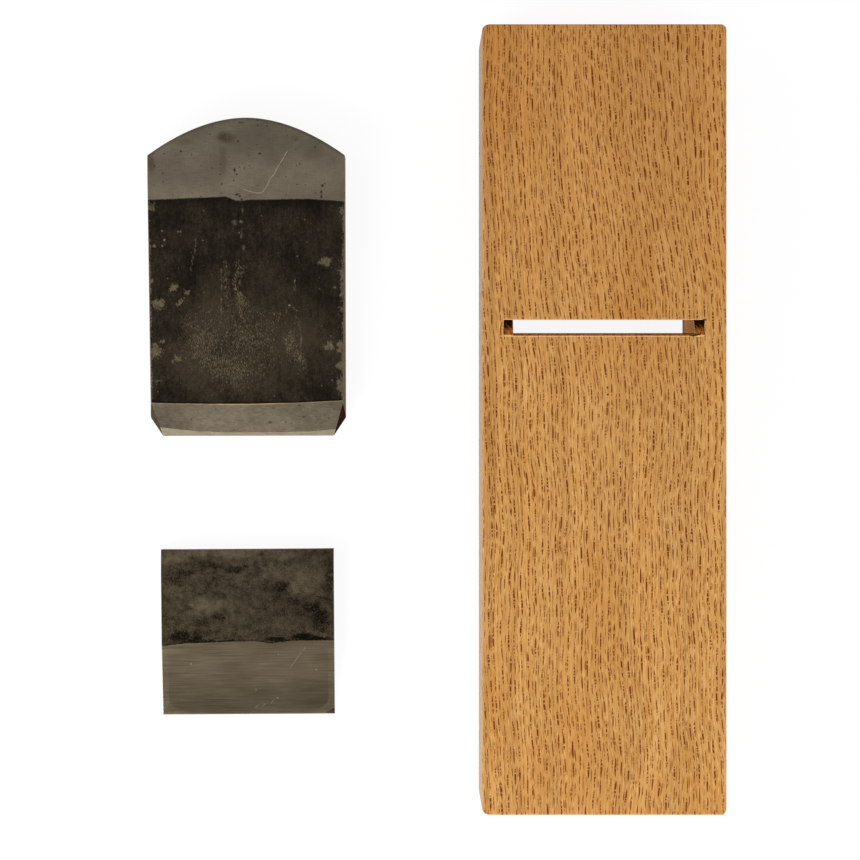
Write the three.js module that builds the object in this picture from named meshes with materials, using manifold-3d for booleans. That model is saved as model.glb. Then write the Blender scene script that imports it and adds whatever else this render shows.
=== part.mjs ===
import * as THREE from 'three';
import { mergeVertices } from 'three/addons/utils/BufferGeometryUtils.js';
import Module from 'manifold-3d';

const wasm = await Module();
wasm.setup();

// Japanese kanna plane laid out in three: block with its sole up, blade and chipbreaker beside it.
// Millimetres, +Z up, +Y from the tail of the block (dai-jiri) to its struck end (dai-gashira).
// The origin is the middle of the whole layout in plan, on the table.

// Sizes of the block
const DAI_LENGTH = 272.7;
const DAI_WIDTH = 84.2;
const DAI_HEIGHT = 36.4;
const TOP_CHAMFER = 2.6;
const SOLE_ARRIS = 0.4;
const LEFT_FLARE = 0.4;
const HEAD_LEFT_ROUND = 3.1;
const HEAD_RIGHT_ROUND = 2.1;
const TAIL_LEFT_ROUND = 3.2;
const TAIL_RIGHT_FLAT_X = 1.0;
const TAIL_RIGHT_FLAT_Y = 1.9;

// Mouth and throat of the block, measured from the line where the blade's edge meets the sole
const EDGE_TO_HEAD_END = 106.65;
const SLIT_LENGTH = 4.7;
const KOPPA_FORWARD = 0.8;
const KOPPA_BACK = 0.3;
const KOPPA_HEIGHT = 4.0;
const THROAT_FRONT_ANGLE = THREE.MathUtils.degToRad(60);
const BED_RISE = 8;
const BED_RUN = 10;
const CHEEK_TO_CHEEK = 62.8;
const GROOVE_FLARE = 0.2;
const MOUTH_WIDTH = 69.4;
const MOUTH_DEPTH = 3.2;
const BLADE_CLEARANCE = 0.3;
const BED_FIT = 0.05;

// Sizes of the blade
const BLADE_LENGTH = 114.0;
const BLADE_WIDTH = 70.7;
const BLADE_HEEL_WIDTH = 68.9;
const BLADE_HEAD_RISE = 13.4;
const BLADE_HEAD_POWER = 1.9;
const BLADE_HEAD_THICKNESS = 9.1;
const BLADE_HEEL_THICKNESS = 5.5;
const BLADE_ARRIS = 0.45;
const BEVEL_LENGTH = 11.8;
const EAR_CLIP_WIDTH = 4.4;
const EAR_CLIP_LENGTH = 6.6;
const BLADE_STEEL_THICKNESS = 1.1;
const BLADE_STEEL_LENGTH = 64;

// Hollow ground into the flat face of the blade
const HOLLOW_DEPTH = 0.5;
const HOLLOW_SLOPE = 1.4;
const HOLLOW_SIDE_LAND = 4.2;
const HOLLOW_EDGE_LAND = 3.2;
const HOLLOW_LENGTH = 56;
const HOLLOW_ROUND = 9;

// Sizes of the chipbreaker
const CHIP_LENGTH = 60;
const CHIP_WIDTH = 62.2;
const CHIP_HEAD_THICKNESS = 3.9;
const CHIP_HEEL_THICKNESS = 3.2;
const CHIP_BEVEL_LENGTH = 24.5;
const CHIP_EDGE_THICKNESS = 0.5;
const CHIP_EDGE_RUN = 0.45;
const CHIP_EAR_DROP = 1.0;
const CHIP_EAR_LEG = 9.5;
const CHIP_EAR_FREE = 0.02;
const CHIP_CORNER_CUT = 1.1;
const CHIP_STEEL_HEIGHT = 0.8;
const CHIP_STEEL_LENGTH = 24;
const CHIP_HOLLOW_DEPTH = 0.18;
const CHIP_HOLLOW_SLOPE = 0.9;
const CHIP_HOLLOW_LAND = 2.6;
const CHIP_HOLLOW_LENGTH = 17;
const CHIP_HOLLOW_ROUND = 4;

// Retaining pin across the throat
const PIN_RADIUS = 3.0;
const PIN_UP_BLADE = 33;
const PIN_FIT = 0.05;
const PIN_HOLE_CLEARANCE = 0.05;
const PIN_BLIND_DEPTH = 7.2;
const PIN_END_GAP = 0.2;
const PIN_END_SET_IN = 0.3;
const PIN_END_CHAMFER = 0.4;

// Places in the layout
const BLADE_TO_DAI = 48.7;
const BLADE_EDGE_FROM_MIDDLE = 5.7;
const BLADE_TURN = THREE.MathUtils.degToRad(0.12);
const CHIP_EDGE_FROM_MIDDLE = 106.6;
const CHIP_SHIFT = 0.2;
const CHIP_TURN = THREE.MathUtils.degToRad(0.35);

// Fineness of curves and reach of the cutters past a face
const ROUND_SEGMENTS = 8;
const HEAD_ARC_SEGMENTS = 40;
const PIN_SEGMENTS = 40;
const HOLLOW_SEGMENTS = 8;
const HOLLOW_SLOPE_STEPS = 2;
const CUT_PAST = 2;
const WELD_DISTANCE = 1e-5;

const X_AXIS = new THREE.Vector3(1, 0, 0);
const Y_AXIS = new THREE.Vector3(0, 1, 0);
const Z_AXIS = new THREE.Vector3(0, 0, 1);

// Closed solid from a geometry, placed by a matrix
function solid(geometry, matrix) {
  const bare = geometry.clone();
  bare.deleteAttribute('normal');
  bare.deleteAttribute('uv');
  if (matrix) {
    bare.applyMatrix4(matrix);
  }
  const welded = mergeVertices(bare, WELD_DISTANCE);
  return new wasm.Manifold(new wasm.Mesh({
    numProp: 3,
    vertProperties: new Float32Array(welded.attributes.position.array),
    triVerts: new Uint32Array(welded.index.array),
  }));
}

// Geometry of a finished solid, with flat shading normals
function geometryOf(body) {
  const mesh = body.getMesh();
  const geometry = new THREE.BufferGeometry();
  geometry.setAttribute('position', new THREE.BufferAttribute(new Float32Array(mesh.vertProperties), 3));
  geometry.setIndex(new THREE.BufferAttribute(new Uint32Array(mesh.triVerts), 1));
  const flat = geometry.toNonIndexed();
  flat.computeVertexNormals();
  return flat;
}

function shapeOf(points) {
  return new THREE.Shape(points.map(([a, b]) => new THREE.Vector2(a, b)));
}

function prism(shape, depth, steps) {
  return new THREE.ExtrudeGeometry(shape, { depth, bevelEnabled: false, curveSegments: steps });
}

// Prism with its outline in plan, standing on the level given
function upright(shape, from, to, steps) {
  return solid(prism(shape, to - from, steps), new THREE.Matrix4().makeTranslation(0, 0, from));
}

// Prism with its outline seen from the side, as pairs of y and z, running across from one x to another
function across(points, from, to) {
  const place = new THREE.Matrix4().makeBasis(Y_AXIS, Z_AXIS, X_AXIS).setPosition(from, 0, 0);
  return solid(prism(shapeOf(points), to - from), place);
}

// Prism with its outline seen from the end, as pairs of x and z, running lengthways about the middle
function lengthways(points, length) {
  const back = Y_AXIS.clone().negate();
  const place = new THREE.Matrix4().makeBasis(X_AXIS, Z_AXIS, back).setPosition(0, length / 2, 0);
  return solid(prism(shapeOf(points), length), place);
}

function block(from, to) {
  const size = to.map((value, i) => value - from[i]);
  const middle = to.map((value, i) => (value + from[i]) / 2);
  return solid(new THREE.BoxGeometry(...size), new THREE.Matrix4().makeTranslation(...middle));
}

// Half space beyond a plane through three points, as a large block on the side away from the inner point
function beyond(a, b, c, inner, reach) {
  const normal = new THREE.Vector3().subVectors(b, a).cross(new THREE.Vector3().subVectors(c, a)).normalize();
  if (new THREE.Vector3().subVectors(inner, a).dot(normal) > 0) {
    normal.negate();
  }
  const turn = new THREE.Quaternion().setFromUnitVectors(Z_AXIS, normal);
  const middle = a.clone().addScaledVector(normal, reach / 2);
  const place = new THREE.Matrix4().compose(middle, turn, new THREE.Vector3(1, 1, 1));
  return solid(new THREE.BoxGeometry(reach, reach, reach), place);
}

// Shallow dished hollow whose floor outline is given, cut upwards from the level zero
function hollow(shape, depth, slope, place) {
  const geometry = new THREE.ExtrudeGeometry(shape, {
    depth: CUT_PAST,
    bevelEnabled: true,
    bevelThickness: depth,
    bevelSize: slope,
    bevelSegments: HOLLOW_SLOPE_STEPS,
    curveSegments: HOLLOW_SEGMENTS,
  });
  geometry.translate(0, 0, -CUT_PAST);
  return solid(geometry, place);
}

// Angles of the blade in the block
const bedAngle = Math.atan2(BED_RISE, BED_RUN);
const bladeTaper = Math.atan2(BLADE_HEAD_THICKNESS - BLADE_HEEL_THICKNESS, BLADE_LENGTH - BEVEL_LENGTH);
const faceAngle = bedAngle + bladeTaper;
const bevelAngle = Math.atan2(BLADE_HEEL_THICKNESS, BEVEL_LENGTH);
const bevelToSole = faceAngle - bevelAngle;
const edgeLine = DAI_LENGTH / 2 - EDGE_TO_HEAD_END;

// Block: places are (run, depth), run behind the edge line and depth below the sole
function inBlock([run, depth]) {
  return [edgeLine + run, DAI_HEIGHT - depth];
}

const heelLevel = BLADE_HEEL_THICKNESS - BEVEL_LENGTH * Math.tan(bladeTaper);
const bedOffset = heelLevel * Math.cos(bladeTaper) + BED_FIT;
const bedStart = bedOffset / Math.sin(bedAngle);
const bedRunAt = (depth) => bedStart + depth / Math.tan(bedAngle);
const faceRunAt = (depth) => depth / Math.tan(faceAngle) - BLADE_CLEARANCE / Math.sin(faceAngle);
const koppaRunAt = (depth) => (KOPPA_BACK + KOPPA_FORWARD) * depth / KOPPA_HEIGHT - KOPPA_FORWARD;
const frontRunAt = (depth) => KOPPA_BACK - (depth - KOPPA_HEIGHT) / Math.tan(THROAT_FRONT_ANGLE);
const lipDepthAt = (run) => run * Math.tan(bevelToSole) - BLADE_CLEARANCE / Math.cos(bevelToSole);
const lipBackRun = (bedStart - BLADE_CLEARANCE / Math.cos(bevelToSole) / Math.tan(bedAngle))
  / (1 - Math.tan(bevelToSole) / Math.tan(bedAngle));
const pastTop = DAI_HEIGHT + CUT_PAST;
const pastSole = -CUT_PAST;

// Back of the mouth, lip under the bevel and bed, from the top of the block down to the sole
const backOfThroat = [
  [bedRunAt(pastTop), pastTop],
  [lipBackRun, lipDepthAt(lipBackRun)],
  [SLIT_LENGTH, lipDepthAt(SLIT_LENGTH)],
  [SLIT_LENGTH, pastSole],
];
const throatSide = [
  [koppaRunAt(pastSole), pastSole],
  [KOPPA_BACK, KOPPA_HEIGHT],
  [frontRunAt(pastTop), pastTop],
  ...backOfThroat,
].map(inBlock);
const grooveSide = [
  [faceRunAt(pastSole), pastSole],
  [faceRunAt(pastTop), pastTop],
  ...backOfThroat,
].map(inBlock);

function daiPlan() {
  const right = DAI_WIDTH / 2;
  const head = DAI_LENGTH / 2;
  const left = -right - LEFT_FLARE;
  const tail = -head;
  const plan = new THREE.Shape();
  plan.moveTo(left + TAIL_LEFT_ROUND, tail);
  plan.lineTo(right - TAIL_RIGHT_FLAT_X, tail);
  plan.lineTo(right, tail + TAIL_RIGHT_FLAT_Y);
  plan.lineTo(right, head - HEAD_RIGHT_ROUND);
  plan.absarc(right - HEAD_RIGHT_ROUND, head - HEAD_RIGHT_ROUND, HEAD_RIGHT_ROUND, 0, Math.PI / 2, false);
  plan.lineTo(left + HEAD_LEFT_ROUND, head);
  plan.absarc(left + HEAD_LEFT_ROUND, head - HEAD_LEFT_ROUND, HEAD_LEFT_ROUND, Math.PI / 2, Math.PI, false);
  plan.lineTo(left, tail + TAIL_LEFT_ROUND);
  const tailRound = TAIL_LEFT_ROUND;
  plan.absarc(left + tailRound, tail + tailRound, tailRound, Math.PI, Math.PI * 3 / 2, false);
  return plan;
}

// Section with the large chamfers of the top edges, which lie on the table, and the small arris of the sole;
// its left side may lean out towards the table
function chamferedSection(width, leftFlare) {
  const half = width / 2;
  const foot = half + leftFlare;
  return [
    [TOP_CHAMFER - foot, 0],
    [half - TOP_CHAMFER, 0],
    [half, TOP_CHAMFER],
    [half, DAI_HEIGHT - SOLE_ARRIS],
    [half - SOLE_ARRIS, DAI_HEIGHT],
    [SOLE_ARRIS - half, DAI_HEIGHT],
    [-half, DAI_HEIGHT - SOLE_ARRIS],
    [-foot, TOP_CHAMFER],
  ];
}

// Groove cutter for both sides at once: a little wider at the top of the block than further down, and
// narrower in the mouth, where the blade's ears are ground off
function grooves() {
  const half = BLADE_WIDTH / 2 + BLADE_CLEARANCE;
  const flare = GROOVE_FLARE / half / DAI_HEIGHT;
  const place = new THREE.Matrix4().makeBasis(Y_AXIS, Z_AXIS, X_AXIS).setPosition(-half, 0, 0);
  const geometry = prism(shapeOf(grooveSide), half * 2).applyMatrix4(place);
  const position = geometry.attributes.position;
  for (let i = 0; i < position.count; i += 1) {
    const depth = DAI_HEIGHT - position.getZ(i);
    position.setX(i, position.getX(i) * (1 + flare * depth));
  }
  const mouth = block(
    [-DAI_WIDTH, -DAI_LENGTH, DAI_HEIGHT - MOUTH_DEPTH],
    [DAI_WIDTH, DAI_LENGTH, DAI_HEIGHT + CUT_PAST],
  );
  return solid(geometry).subtract(mouth).add(across(grooveSide, -MOUTH_WIDTH / 2, MOUTH_WIDTH / 2));
}

// Pin centre: up the blade's face, and off it by the chipbreaker's height there
const chipTilt = Math.atan2(CHIP_EAR_DROP, CHIP_LENGTH);
const chipFaceAt = (run) => run * Math.tan(chipTilt);
const chipHeelTop = chipFaceAt(CHIP_BEVEL_LENGTH) + CHIP_HEEL_THICKNESS;
const chipHeadTop = chipFaceAt(CHIP_LENGTH) + CHIP_HEAD_THICKNESS;
const chipBackSlope = (chipHeadTop - chipHeelTop) / (CHIP_LENGTH - CHIP_BEVEL_LENGTH);
const pinOffBlade = chipHeelTop + (PIN_UP_BLADE - CHIP_BEVEL_LENGTH) * chipBackSlope + PIN_RADIUS + PIN_FIT;
const pinRun = PIN_UP_BLADE * Math.cos(faceAngle) - pinOffBlade * Math.sin(faceAngle);
const pinDepth = PIN_UP_BLADE * Math.sin(faceAngle) + pinOffBlade * Math.cos(faceAngle);
const [pinY, pinZ] = inBlock([pinRun, pinDepth]);
const pinHoleStart = -CHEEK_TO_CHEEK / 2 - PIN_BLIND_DEPTH;
const pinStart = pinHoleStart + PIN_END_GAP;
const pinEnd = DAI_WIDTH / 2 - PIN_END_SET_IN;

// Round bar lying across the block between two x places
function barAcross(radius, from, to) {
  const place = new THREE.Matrix4().makeRotationAxis(Z_AXIS, -Math.PI / 2);
  place.setPosition((from + to) / 2, pinY, pinZ);
  return solid(new THREE.CylinderGeometry(radius, radius, to - from, PIN_SEGMENTS), place);
}

function daiBody() {
  const half = CHEEK_TO_CHEEK / 2;
  return upright(daiPlan(), 0, DAI_HEIGHT, ROUND_SEGMENTS)
    .intersect(lengthways(chamferedSection(DAI_WIDTH, LEFT_FLARE), DAI_LENGTH))
    .intersect(across(chamferedSection(DAI_LENGTH, 0), -DAI_WIDTH / 2 - LEFT_FLARE, DAI_WIDTH / 2))
    .subtract(across(throatSide, -half, half))
    .subtract(grooves())
    .subtract(barAcross(PIN_RADIUS + PIN_HOLE_CLEARANCE, pinHoleStart, DAI_WIDTH / 2 + CUT_PAST));
}

// Pin turned from a bar, with both ends chamfered
function retainingPin() {
  const length = pinEnd - pinStart;
  const neck = PIN_RADIUS - PIN_END_CHAMFER;
  const profile = [
    new THREE.Vector2(0, 0),
    new THREE.Vector2(neck, 0),
    new THREE.Vector2(PIN_RADIUS, PIN_END_CHAMFER),
    new THREE.Vector2(PIN_RADIUS, length - PIN_END_CHAMFER),
    new THREE.Vector2(neck, length),
    new THREE.Vector2(0, length),
  ];
  const place = new THREE.Matrix4().makeRotationAxis(Z_AXIS, -Math.PI / 2);
  place.setPosition(pinStart, pinY, pinZ);
  return solid(new THREE.LatheGeometry(profile, PIN_SEGMENTS), place);
}

// Blade: origin at the middle of its cutting edge, flat face down, +Y to the round head
const bladeHalf = BLADE_WIDTH / 2;
const shoulder = BLADE_LENGTH - BLADE_HEAD_RISE;

// Round head, a little more pointed than a circle
function bladePlan() {
  const plan = new THREE.Shape();
  plan.moveTo(-bladeHalf, 0);
  plan.lineTo(bladeHalf, 0);
  for (let i = 0; i <= HEAD_ARC_SEGMENTS; i += 1) {
    const share = 1 - 2 * i / HEAD_ARC_SEGMENTS;
    plan.lineTo(bladeHalf * share, BLADE_LENGTH - BLADE_HEAD_RISE * Math.abs(share) ** BLADE_HEAD_POWER);
  }
  plan.lineTo(-bladeHalf, 0);
  return plan;
}

// Corner of the upper face above the heel of the bevel
function heelCorner(side) {
  return new THREE.Vector3(side * BLADE_HEEL_WIDTH / 2, BEVEL_LENGTH, BLADE_HEEL_THICKNESS);
}

// Side that leans in above a line from the flat face at the edge up to the upper face at the head
function leaningSide(side) {
  const edge = new THREE.Vector3(side * bladeHalf, 0, 0);
  const head = new THREE.Vector3(side * bladeHalf, shoulder, BLADE_HEAD_THICKNESS);
  return beyond(edge, heelCorner(side), head, new THREE.Vector3(0, shoulder, 0), BLADE_LENGTH * 2);
}

// Ground-off corner of the cutting edge: a plane from the bevel's top corner out to the flat face
function earClip(side) {
  const edge = new THREE.Vector3(side * (bladeHalf - EAR_CLIP_WIDTH), 0, 0);
  const low = new THREE.Vector3(side * bladeHalf, EAR_CLIP_LENGTH, 0);
  return beyond(heelCorner(side), edge, low, new THREE.Vector3(0, shoulder, 0), BLADE_LENGTH);
}

// Outline of the hollow's floor: square towards the edge, arched towards the head
function hollowFloor() {
  const half = bladeHalf - HOLLOW_SIDE_LAND - HOLLOW_SLOPE;
  const near = HOLLOW_EDGE_LAND + HOLLOW_SLOPE;
  const far = HOLLOW_LENGTH - HOLLOW_SLOPE;
  const spring = far - half / 2;
  const floor = new THREE.Shape();
  floor.moveTo(HOLLOW_ROUND - half, near);
  floor.lineTo(half - HOLLOW_ROUND, near);
  floor.quadraticCurveTo(half, near, half, near + HOLLOW_ROUND);
  floor.lineTo(half, spring);
  floor.absellipse(0, spring, half, far - spring, 0, Math.PI, false, 0);
  floor.lineTo(-half, near + HOLLOW_ROUND);
  floor.quadraticCurveTo(-half, near, HOLLOW_ROUND - half, near);
  return floor;
}

// Blank with a small arris round its upper face, leaned so that this face lies in the blade's taper
function bladeBlank() {
  const rise = (BLADE_HEAD_THICKNESS - BLADE_HEEL_THICKNESS) / (BLADE_LENGTH - BEVEL_LENGTH);
  const level = BLADE_HEEL_THICKNESS - BEVEL_LENGTH * rise;
  const geometry = new THREE.ExtrudeGeometry(bladePlan(), {
    depth: BLADE_HEAD_THICKNESS + CUT_PAST,
    bevelEnabled: true,
    bevelThickness: BLADE_ARRIS,
    bevelSize: BLADE_ARRIS,
    bevelOffset: -BLADE_ARRIS,
    bevelSegments: 1,
  });
  geometry.translate(0, 0, level - BLADE_HEAD_THICKNESS - CUT_PAST - BLADE_ARRIS);
  const lean = new THREE.Matrix4().set(
    1, 0, 0, 0,
    0, 1, 0, 0,
    0, rise, 1, 0,
    0, 0, 0, 1,
  );
  return solid(geometry, lean);
}

function bladeLayers() {
  const half = bladeHalf + CUT_PAST;
  const above = BLADE_HEAD_THICKNESS + CUT_PAST;
  const side = [
    [0, 0],
    [BLADE_LENGTH + CUT_PAST, 0],
    [BLADE_LENGTH + CUT_PAST, above],
    [above / Math.tan(bevelAngle), above],
  ];
  const whole = bladeBlank()
    .intersect(across(side, -half, half))
    .subtract(leaningSide(1))
    .subtract(leaningSide(-1))
    .subtract(earClip(1))
    .subtract(earClip(-1));
  const layer = block([-half, -CUT_PAST, -CUT_PAST], [half, BLADE_STEEL_LENGTH, BLADE_STEEL_THICKNESS]);
  return {
    iron: whole.subtract(layer),
    steel: whole.intersect(layer).subtract(hollow(hollowFloor(), HOLLOW_DEPTH, HOLLOW_SLOPE)),
  };
}

// Chipbreaker: origin under the middle of its working edge, +Y to the eared end
function chipEarCorner(side) {
  const half = CHIP_WIDTH / 2;
  return shapeOf([
    [side * half, CHIP_LENGTH - CHIP_EAR_LEG],
    [side * half, CHIP_LENGTH],
    [side * (half - CHIP_EAR_LEG), CHIP_LENGTH],
  ]);
}

// Turn of a corner downwards about its diagonal fold line
function chipEarBend(side) {
  const half = CHIP_WIDTH / 2;
  const leg = CHIP_EAR_LEG * Math.SQRT1_2;
  const angle = Math.asin((CHIP_EAR_DROP - CHIP_EAR_FREE) / leg);
  const fold = new THREE.Vector3(side, -1, 0).normalize();
  const pivot = new THREE.Vector3(side * half, CHIP_LENGTH - CHIP_EAR_LEG, CHIP_EAR_DROP);
  return new THREE.Matrix4().makeTranslation(pivot.x, pivot.y, pivot.z)
    .multiply(new THREE.Matrix4().makeRotationAxis(fold, -side * angle))
    .multiply(new THREE.Matrix4().makeTranslation(-pivot.x, -pivot.y, -pivot.z));
}

function chipHollowFloor() {
  const half = CHIP_WIDTH / 2 - CHIP_HOLLOW_LAND - CHIP_HOLLOW_SLOPE;
  const near = CHIP_HOLLOW_LAND + CHIP_HOLLOW_SLOPE;
  const far = CHIP_HOLLOW_LENGTH - CHIP_HOLLOW_SLOPE;
  const floor = new THREE.Shape();
  floor.moveTo(CHIP_HOLLOW_ROUND - half, near);
  floor.lineTo(half - CHIP_HOLLOW_ROUND, near);
  floor.quadraticCurveTo(half, near, half, near + CHIP_HOLLOW_ROUND);
  floor.lineTo(half, far - CHIP_HOLLOW_ROUND);
  floor.quadraticCurveTo(half, far, half - CHIP_HOLLOW_ROUND, far);
  floor.lineTo(CHIP_HOLLOW_ROUND - half, far);
  floor.quadraticCurveTo(-half, far, -half, far - CHIP_HOLLOW_ROUND);
  floor.lineTo(-half, near + CHIP_HOLLOW_ROUND);
  floor.quadraticCurveTo(-half, near, CHIP_HOLLOW_ROUND - half, near);
  return floor;
}

function chipLayers() {
  const half = CHIP_WIDTH / 2;
  const side = [
    [0, 0],
    [CHIP_LENGTH, CHIP_EAR_DROP],
    [CHIP_LENGTH, chipHeadTop],
    [CHIP_BEVEL_LENGTH, chipHeelTop],
    [CHIP_EDGE_RUN, CHIP_EDGE_THICKNESS],
  ];
  const edgeCorner = shapeOf([
    [half - CHIP_CORNER_CUT, -CUT_PAST],
    [half + CUT_PAST, -CUT_PAST],
    [half + CUT_PAST, CHIP_CORNER_CUT + CUT_PAST],
  ]);
  const plate = across(side, -half, half);
  const top = chipHeadTop + CUT_PAST;
  let whole = plate.subtract(upright(edgeCorner, -CUT_PAST, top));
  for (const ear of [-1, 1]) {
    const corner = upright(chipEarCorner(ear), -CUT_PAST, top);
    const bent = plate.intersect(corner).transform(chipEarBend(ear).elements);
    whole = whole.subtract(corner).add(bent);
  }
  const layer = block([-half - CUT_PAST, -CUT_PAST, -CUT_PAST],
    [half + CUT_PAST, CHIP_STEEL_LENGTH, CHIP_STEEL_HEIGHT]);
  const lean = new THREE.Matrix4().makeRotationAxis(X_AXIS, chipTilt);
  return {
    iron: whole.subtract(layer),
    steel: whole.intersect(layer)
      .subtract(hollow(chipHollowFloor(), CHIP_HOLLOW_DEPTH, CHIP_HOLLOW_SLOPE, lean)),
  };
}

// Finishes
function finish(color, roughness, metalness) {
  return new THREE.MeshStandardMaterial({ color, roughness, metalness });
}

const oak = finish(0xbf8d52, 0.6, 0);
const rodSteel = finish(0x8d8a84, 0.4, 1);
const forgedIron = finish(0x2e2a26, 0.65, 0.8);
const groundSteel = finish(0x8a8272, 0.35, 1);

function piece(name, body, material) {
  const mesh = new THREE.Mesh(geometryOf(body), material);
  mesh.name = name;
  return mesh;
}

// Layout: the blade's head reaches the left limit and the block's side the right limit
const bladeReach = bladeHalf * Math.cos(BLADE_TURN) + shoulder * Math.sin(BLADE_TURN);
const layoutWidth = BLADE_WIDTH + BLADE_TO_DAI + DAI_WIDTH;
const blade = bladeLayers();
const chip = chipLayers();

const daiGroup = new THREE.Group();
daiGroup.name = 'dai_assembly';
daiGroup.position.set((layoutWidth - DAI_WIDTH) / 2, 0, 0);
daiGroup.add(piece('dai_body', daiBody(), oak));
daiGroup.add(piece('retaining_pin', retainingPin(), rodSteel));

const bladeGroup = new THREE.Group();
bladeGroup.name = 'blade_assembly';
bladeGroup.position.set(bladeReach - layoutWidth / 2, -BLADE_EDGE_FROM_MIDDLE, 0);
bladeGroup.rotation.z = BLADE_TURN;
bladeGroup.add(piece('blade_iron', blade.iron, forgedIron));
bladeGroup.add(piece('blade_steel', blade.steel, groundSteel));

const chipGroup = new THREE.Group();
chipGroup.name = 'chipbreaker_assembly';
chipGroup.position.set(bladeGroup.position.x + CHIP_SHIFT, -CHIP_EDGE_FROM_MIDDLE, 0);
chipGroup.rotation.z = CHIP_TURN;
chipGroup.add(piece('chipbreaker_iron', chip.iron, forgedIron));
chipGroup.add(piece('chipbreaker_steel', chip.steel, groundSteel));

const plane = new THREE.Group();
plane.name = 'kanna_plane';
plane.add(daiGroup, bladeGroup, chipGroup);

export default plane;
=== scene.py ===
"""Looks of a Japanese kanna plane taken apart: oak block with its sole up, blade and chipbreaker.

Metres, +Z up, +Y up the photograph, which looks straight down on the pieces.
"""

import math
from functools import partial, partialmethod, reduce

import bmesh
import bpy
from mathutils import Matrix, Vector, noise


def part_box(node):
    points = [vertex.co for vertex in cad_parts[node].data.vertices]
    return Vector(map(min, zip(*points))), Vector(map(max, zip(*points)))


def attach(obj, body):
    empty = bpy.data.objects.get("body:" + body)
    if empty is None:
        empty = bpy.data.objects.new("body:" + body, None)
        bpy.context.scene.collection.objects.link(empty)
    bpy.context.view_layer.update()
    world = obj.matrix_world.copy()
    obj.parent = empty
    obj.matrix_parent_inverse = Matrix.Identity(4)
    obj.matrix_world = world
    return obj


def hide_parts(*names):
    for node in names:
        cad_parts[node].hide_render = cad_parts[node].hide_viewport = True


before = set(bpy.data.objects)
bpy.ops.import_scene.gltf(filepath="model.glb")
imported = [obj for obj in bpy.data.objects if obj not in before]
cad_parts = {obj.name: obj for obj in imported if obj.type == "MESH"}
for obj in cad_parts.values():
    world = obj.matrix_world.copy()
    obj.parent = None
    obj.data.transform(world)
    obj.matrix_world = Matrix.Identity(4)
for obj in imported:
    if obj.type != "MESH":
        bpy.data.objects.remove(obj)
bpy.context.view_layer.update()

MM = 0.001
DEGREE = math.pi / 180

# Camera: image centre in the frame, height over the table, lens and sensor in millimetres, nearest view
VIEW_CENTRE = (-0.45 * MM, -3.6 * MM)
VIEW_HEIGHT = 736.4 * MM
VIEW_LENS = 85
VIEW_SENSOR = 36
VIEW_NEAR = 10 * MM

# Places of the loose pieces: middle of the cutting edge, and turn about the vertical
BLADE_PLACE = (-66.24 * MM, -5.7 * MM, 0)
BLADE_TURN = 0.12 * DEGREE
CHIP_PLACE = (-66.04 * MM, -106.6 * MM, 0)
CHIP_TURN = 0.35 * DEGREE

# Blade, in millimetres
BLADE_LENGTH = 114
BLADE_WIDTH = 70.7
BLADE_HEEL_WIDTH = 68.9
BLADE_HEAD_RISE = 13.4
BLADE_HEAD_POWER = 1.9
BLADE_HEAD_THICKNESS = 9.1
BLADE_HEEL_THICKNESS = 5.5
BLADE_BEVEL = 11.8
BLADE_EAR_CLIP = (4.4, 6.6)
BLADE_STEEL_LENGTH = 64
BLADE_BACK_SAG = 0.38
BLADE_BACK_TILT = 0.15
BLADE_ARRIS = 0.3

# Weld under the blade's iron: middle and reach across, height in the middle and at the left and right side
BLADE_WELD = (1.5, 32, 0.58, 1.45, 1.2)

# Hollows in the flat faces: middle along, reach across and along, power of the sides, depth, level outside
BLADE_HOLLOW = (31, 30.5, 27, 5, 0.42, -0.3)
CHIP_HOLLOW = (11, 28.5, 8.6, 6, 0.16, -0.05)
HOLLOW_SLOPE = 1.6
HOLLOW_RIM = -0.3

# A face this far above the flat face that it is cut in belongs to a hollow, in millimetres
HOLLOW_MARGIN = 0.015

# Chipbreaker, in millimetres
CHIP_LENGTH = 60
CHIP_WIDTH = 62.2
CHIP_HEAD_TOP = 4.9
CHIP_BEVEL = 24.5
CHIP_BEVEL_TOP = 3.61
CHIP_EDGE_TOP = 0.5
CHIP_EDGE_RUN = 0.45
CHIP_EAR_DROP = 1
CHIP_EAR_LEG = 9.5
CHIP_EAR_REST = 0.03
CHIP_FOLD = 1.6
CHIP_STEEL_LENGTH = 24
CHIP_STRIP = 2.2
CHIP_CORNER_ROUND = 4
CHIP_ARRIS = 0.12
CHIP_WORN_CORNER = ((3.4, 0, 0.35), (0, 2.3, 0.74))

# How far cutters reach, in millimetres: past the sides and the base, and under a weld and a hollow
SIDE_REACH = 130
BASE_REACH = 200
WELD_FAR = -9
HOLLOW_FAR = -6

# Softened edges, and the angle and gap at which faces and points still count as joined
ARRIS_SEGMENTS = 2
ARRIS_ANGLE = 25 * DEGREE
DAI_ARRIS = 0.15
SHARP_ANGLE = 18 * DEGREE
SAME_PLACE = 0.0005 * MM


# Mesh helpers

def place_object(name, data):
    piece = bpy.data.objects.new(name, data)
    bpy.context.scene.collection.objects.link(piece)
    return piece


def build(name, vertices, faces):
    """Object with a mesh of its own, given in millimetres."""
    mesh = bpy.data.meshes.new(name)
    mesh.from_pydata([Vector(v) * MM for v in vertices], [], faces)
    mesh.update()
    return place_object(name, mesh)


def prism(name, outline, low, high):
    """Closed prism over an outline in plan, listed counter-clockwise, in millimetres."""
    count = len(outline)
    vertices = [(x, y, low) for x, y in outline] + [(x, y, high) for x, y in outline]
    faces = [tuple(reversed(range(count))), tuple(range(count, 2 * count))]
    for i in range(count):
        j = (i + 1) % count
        faces.append((i, j, count + j, count + i))
    return build(name, vertices, faces)


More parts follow.
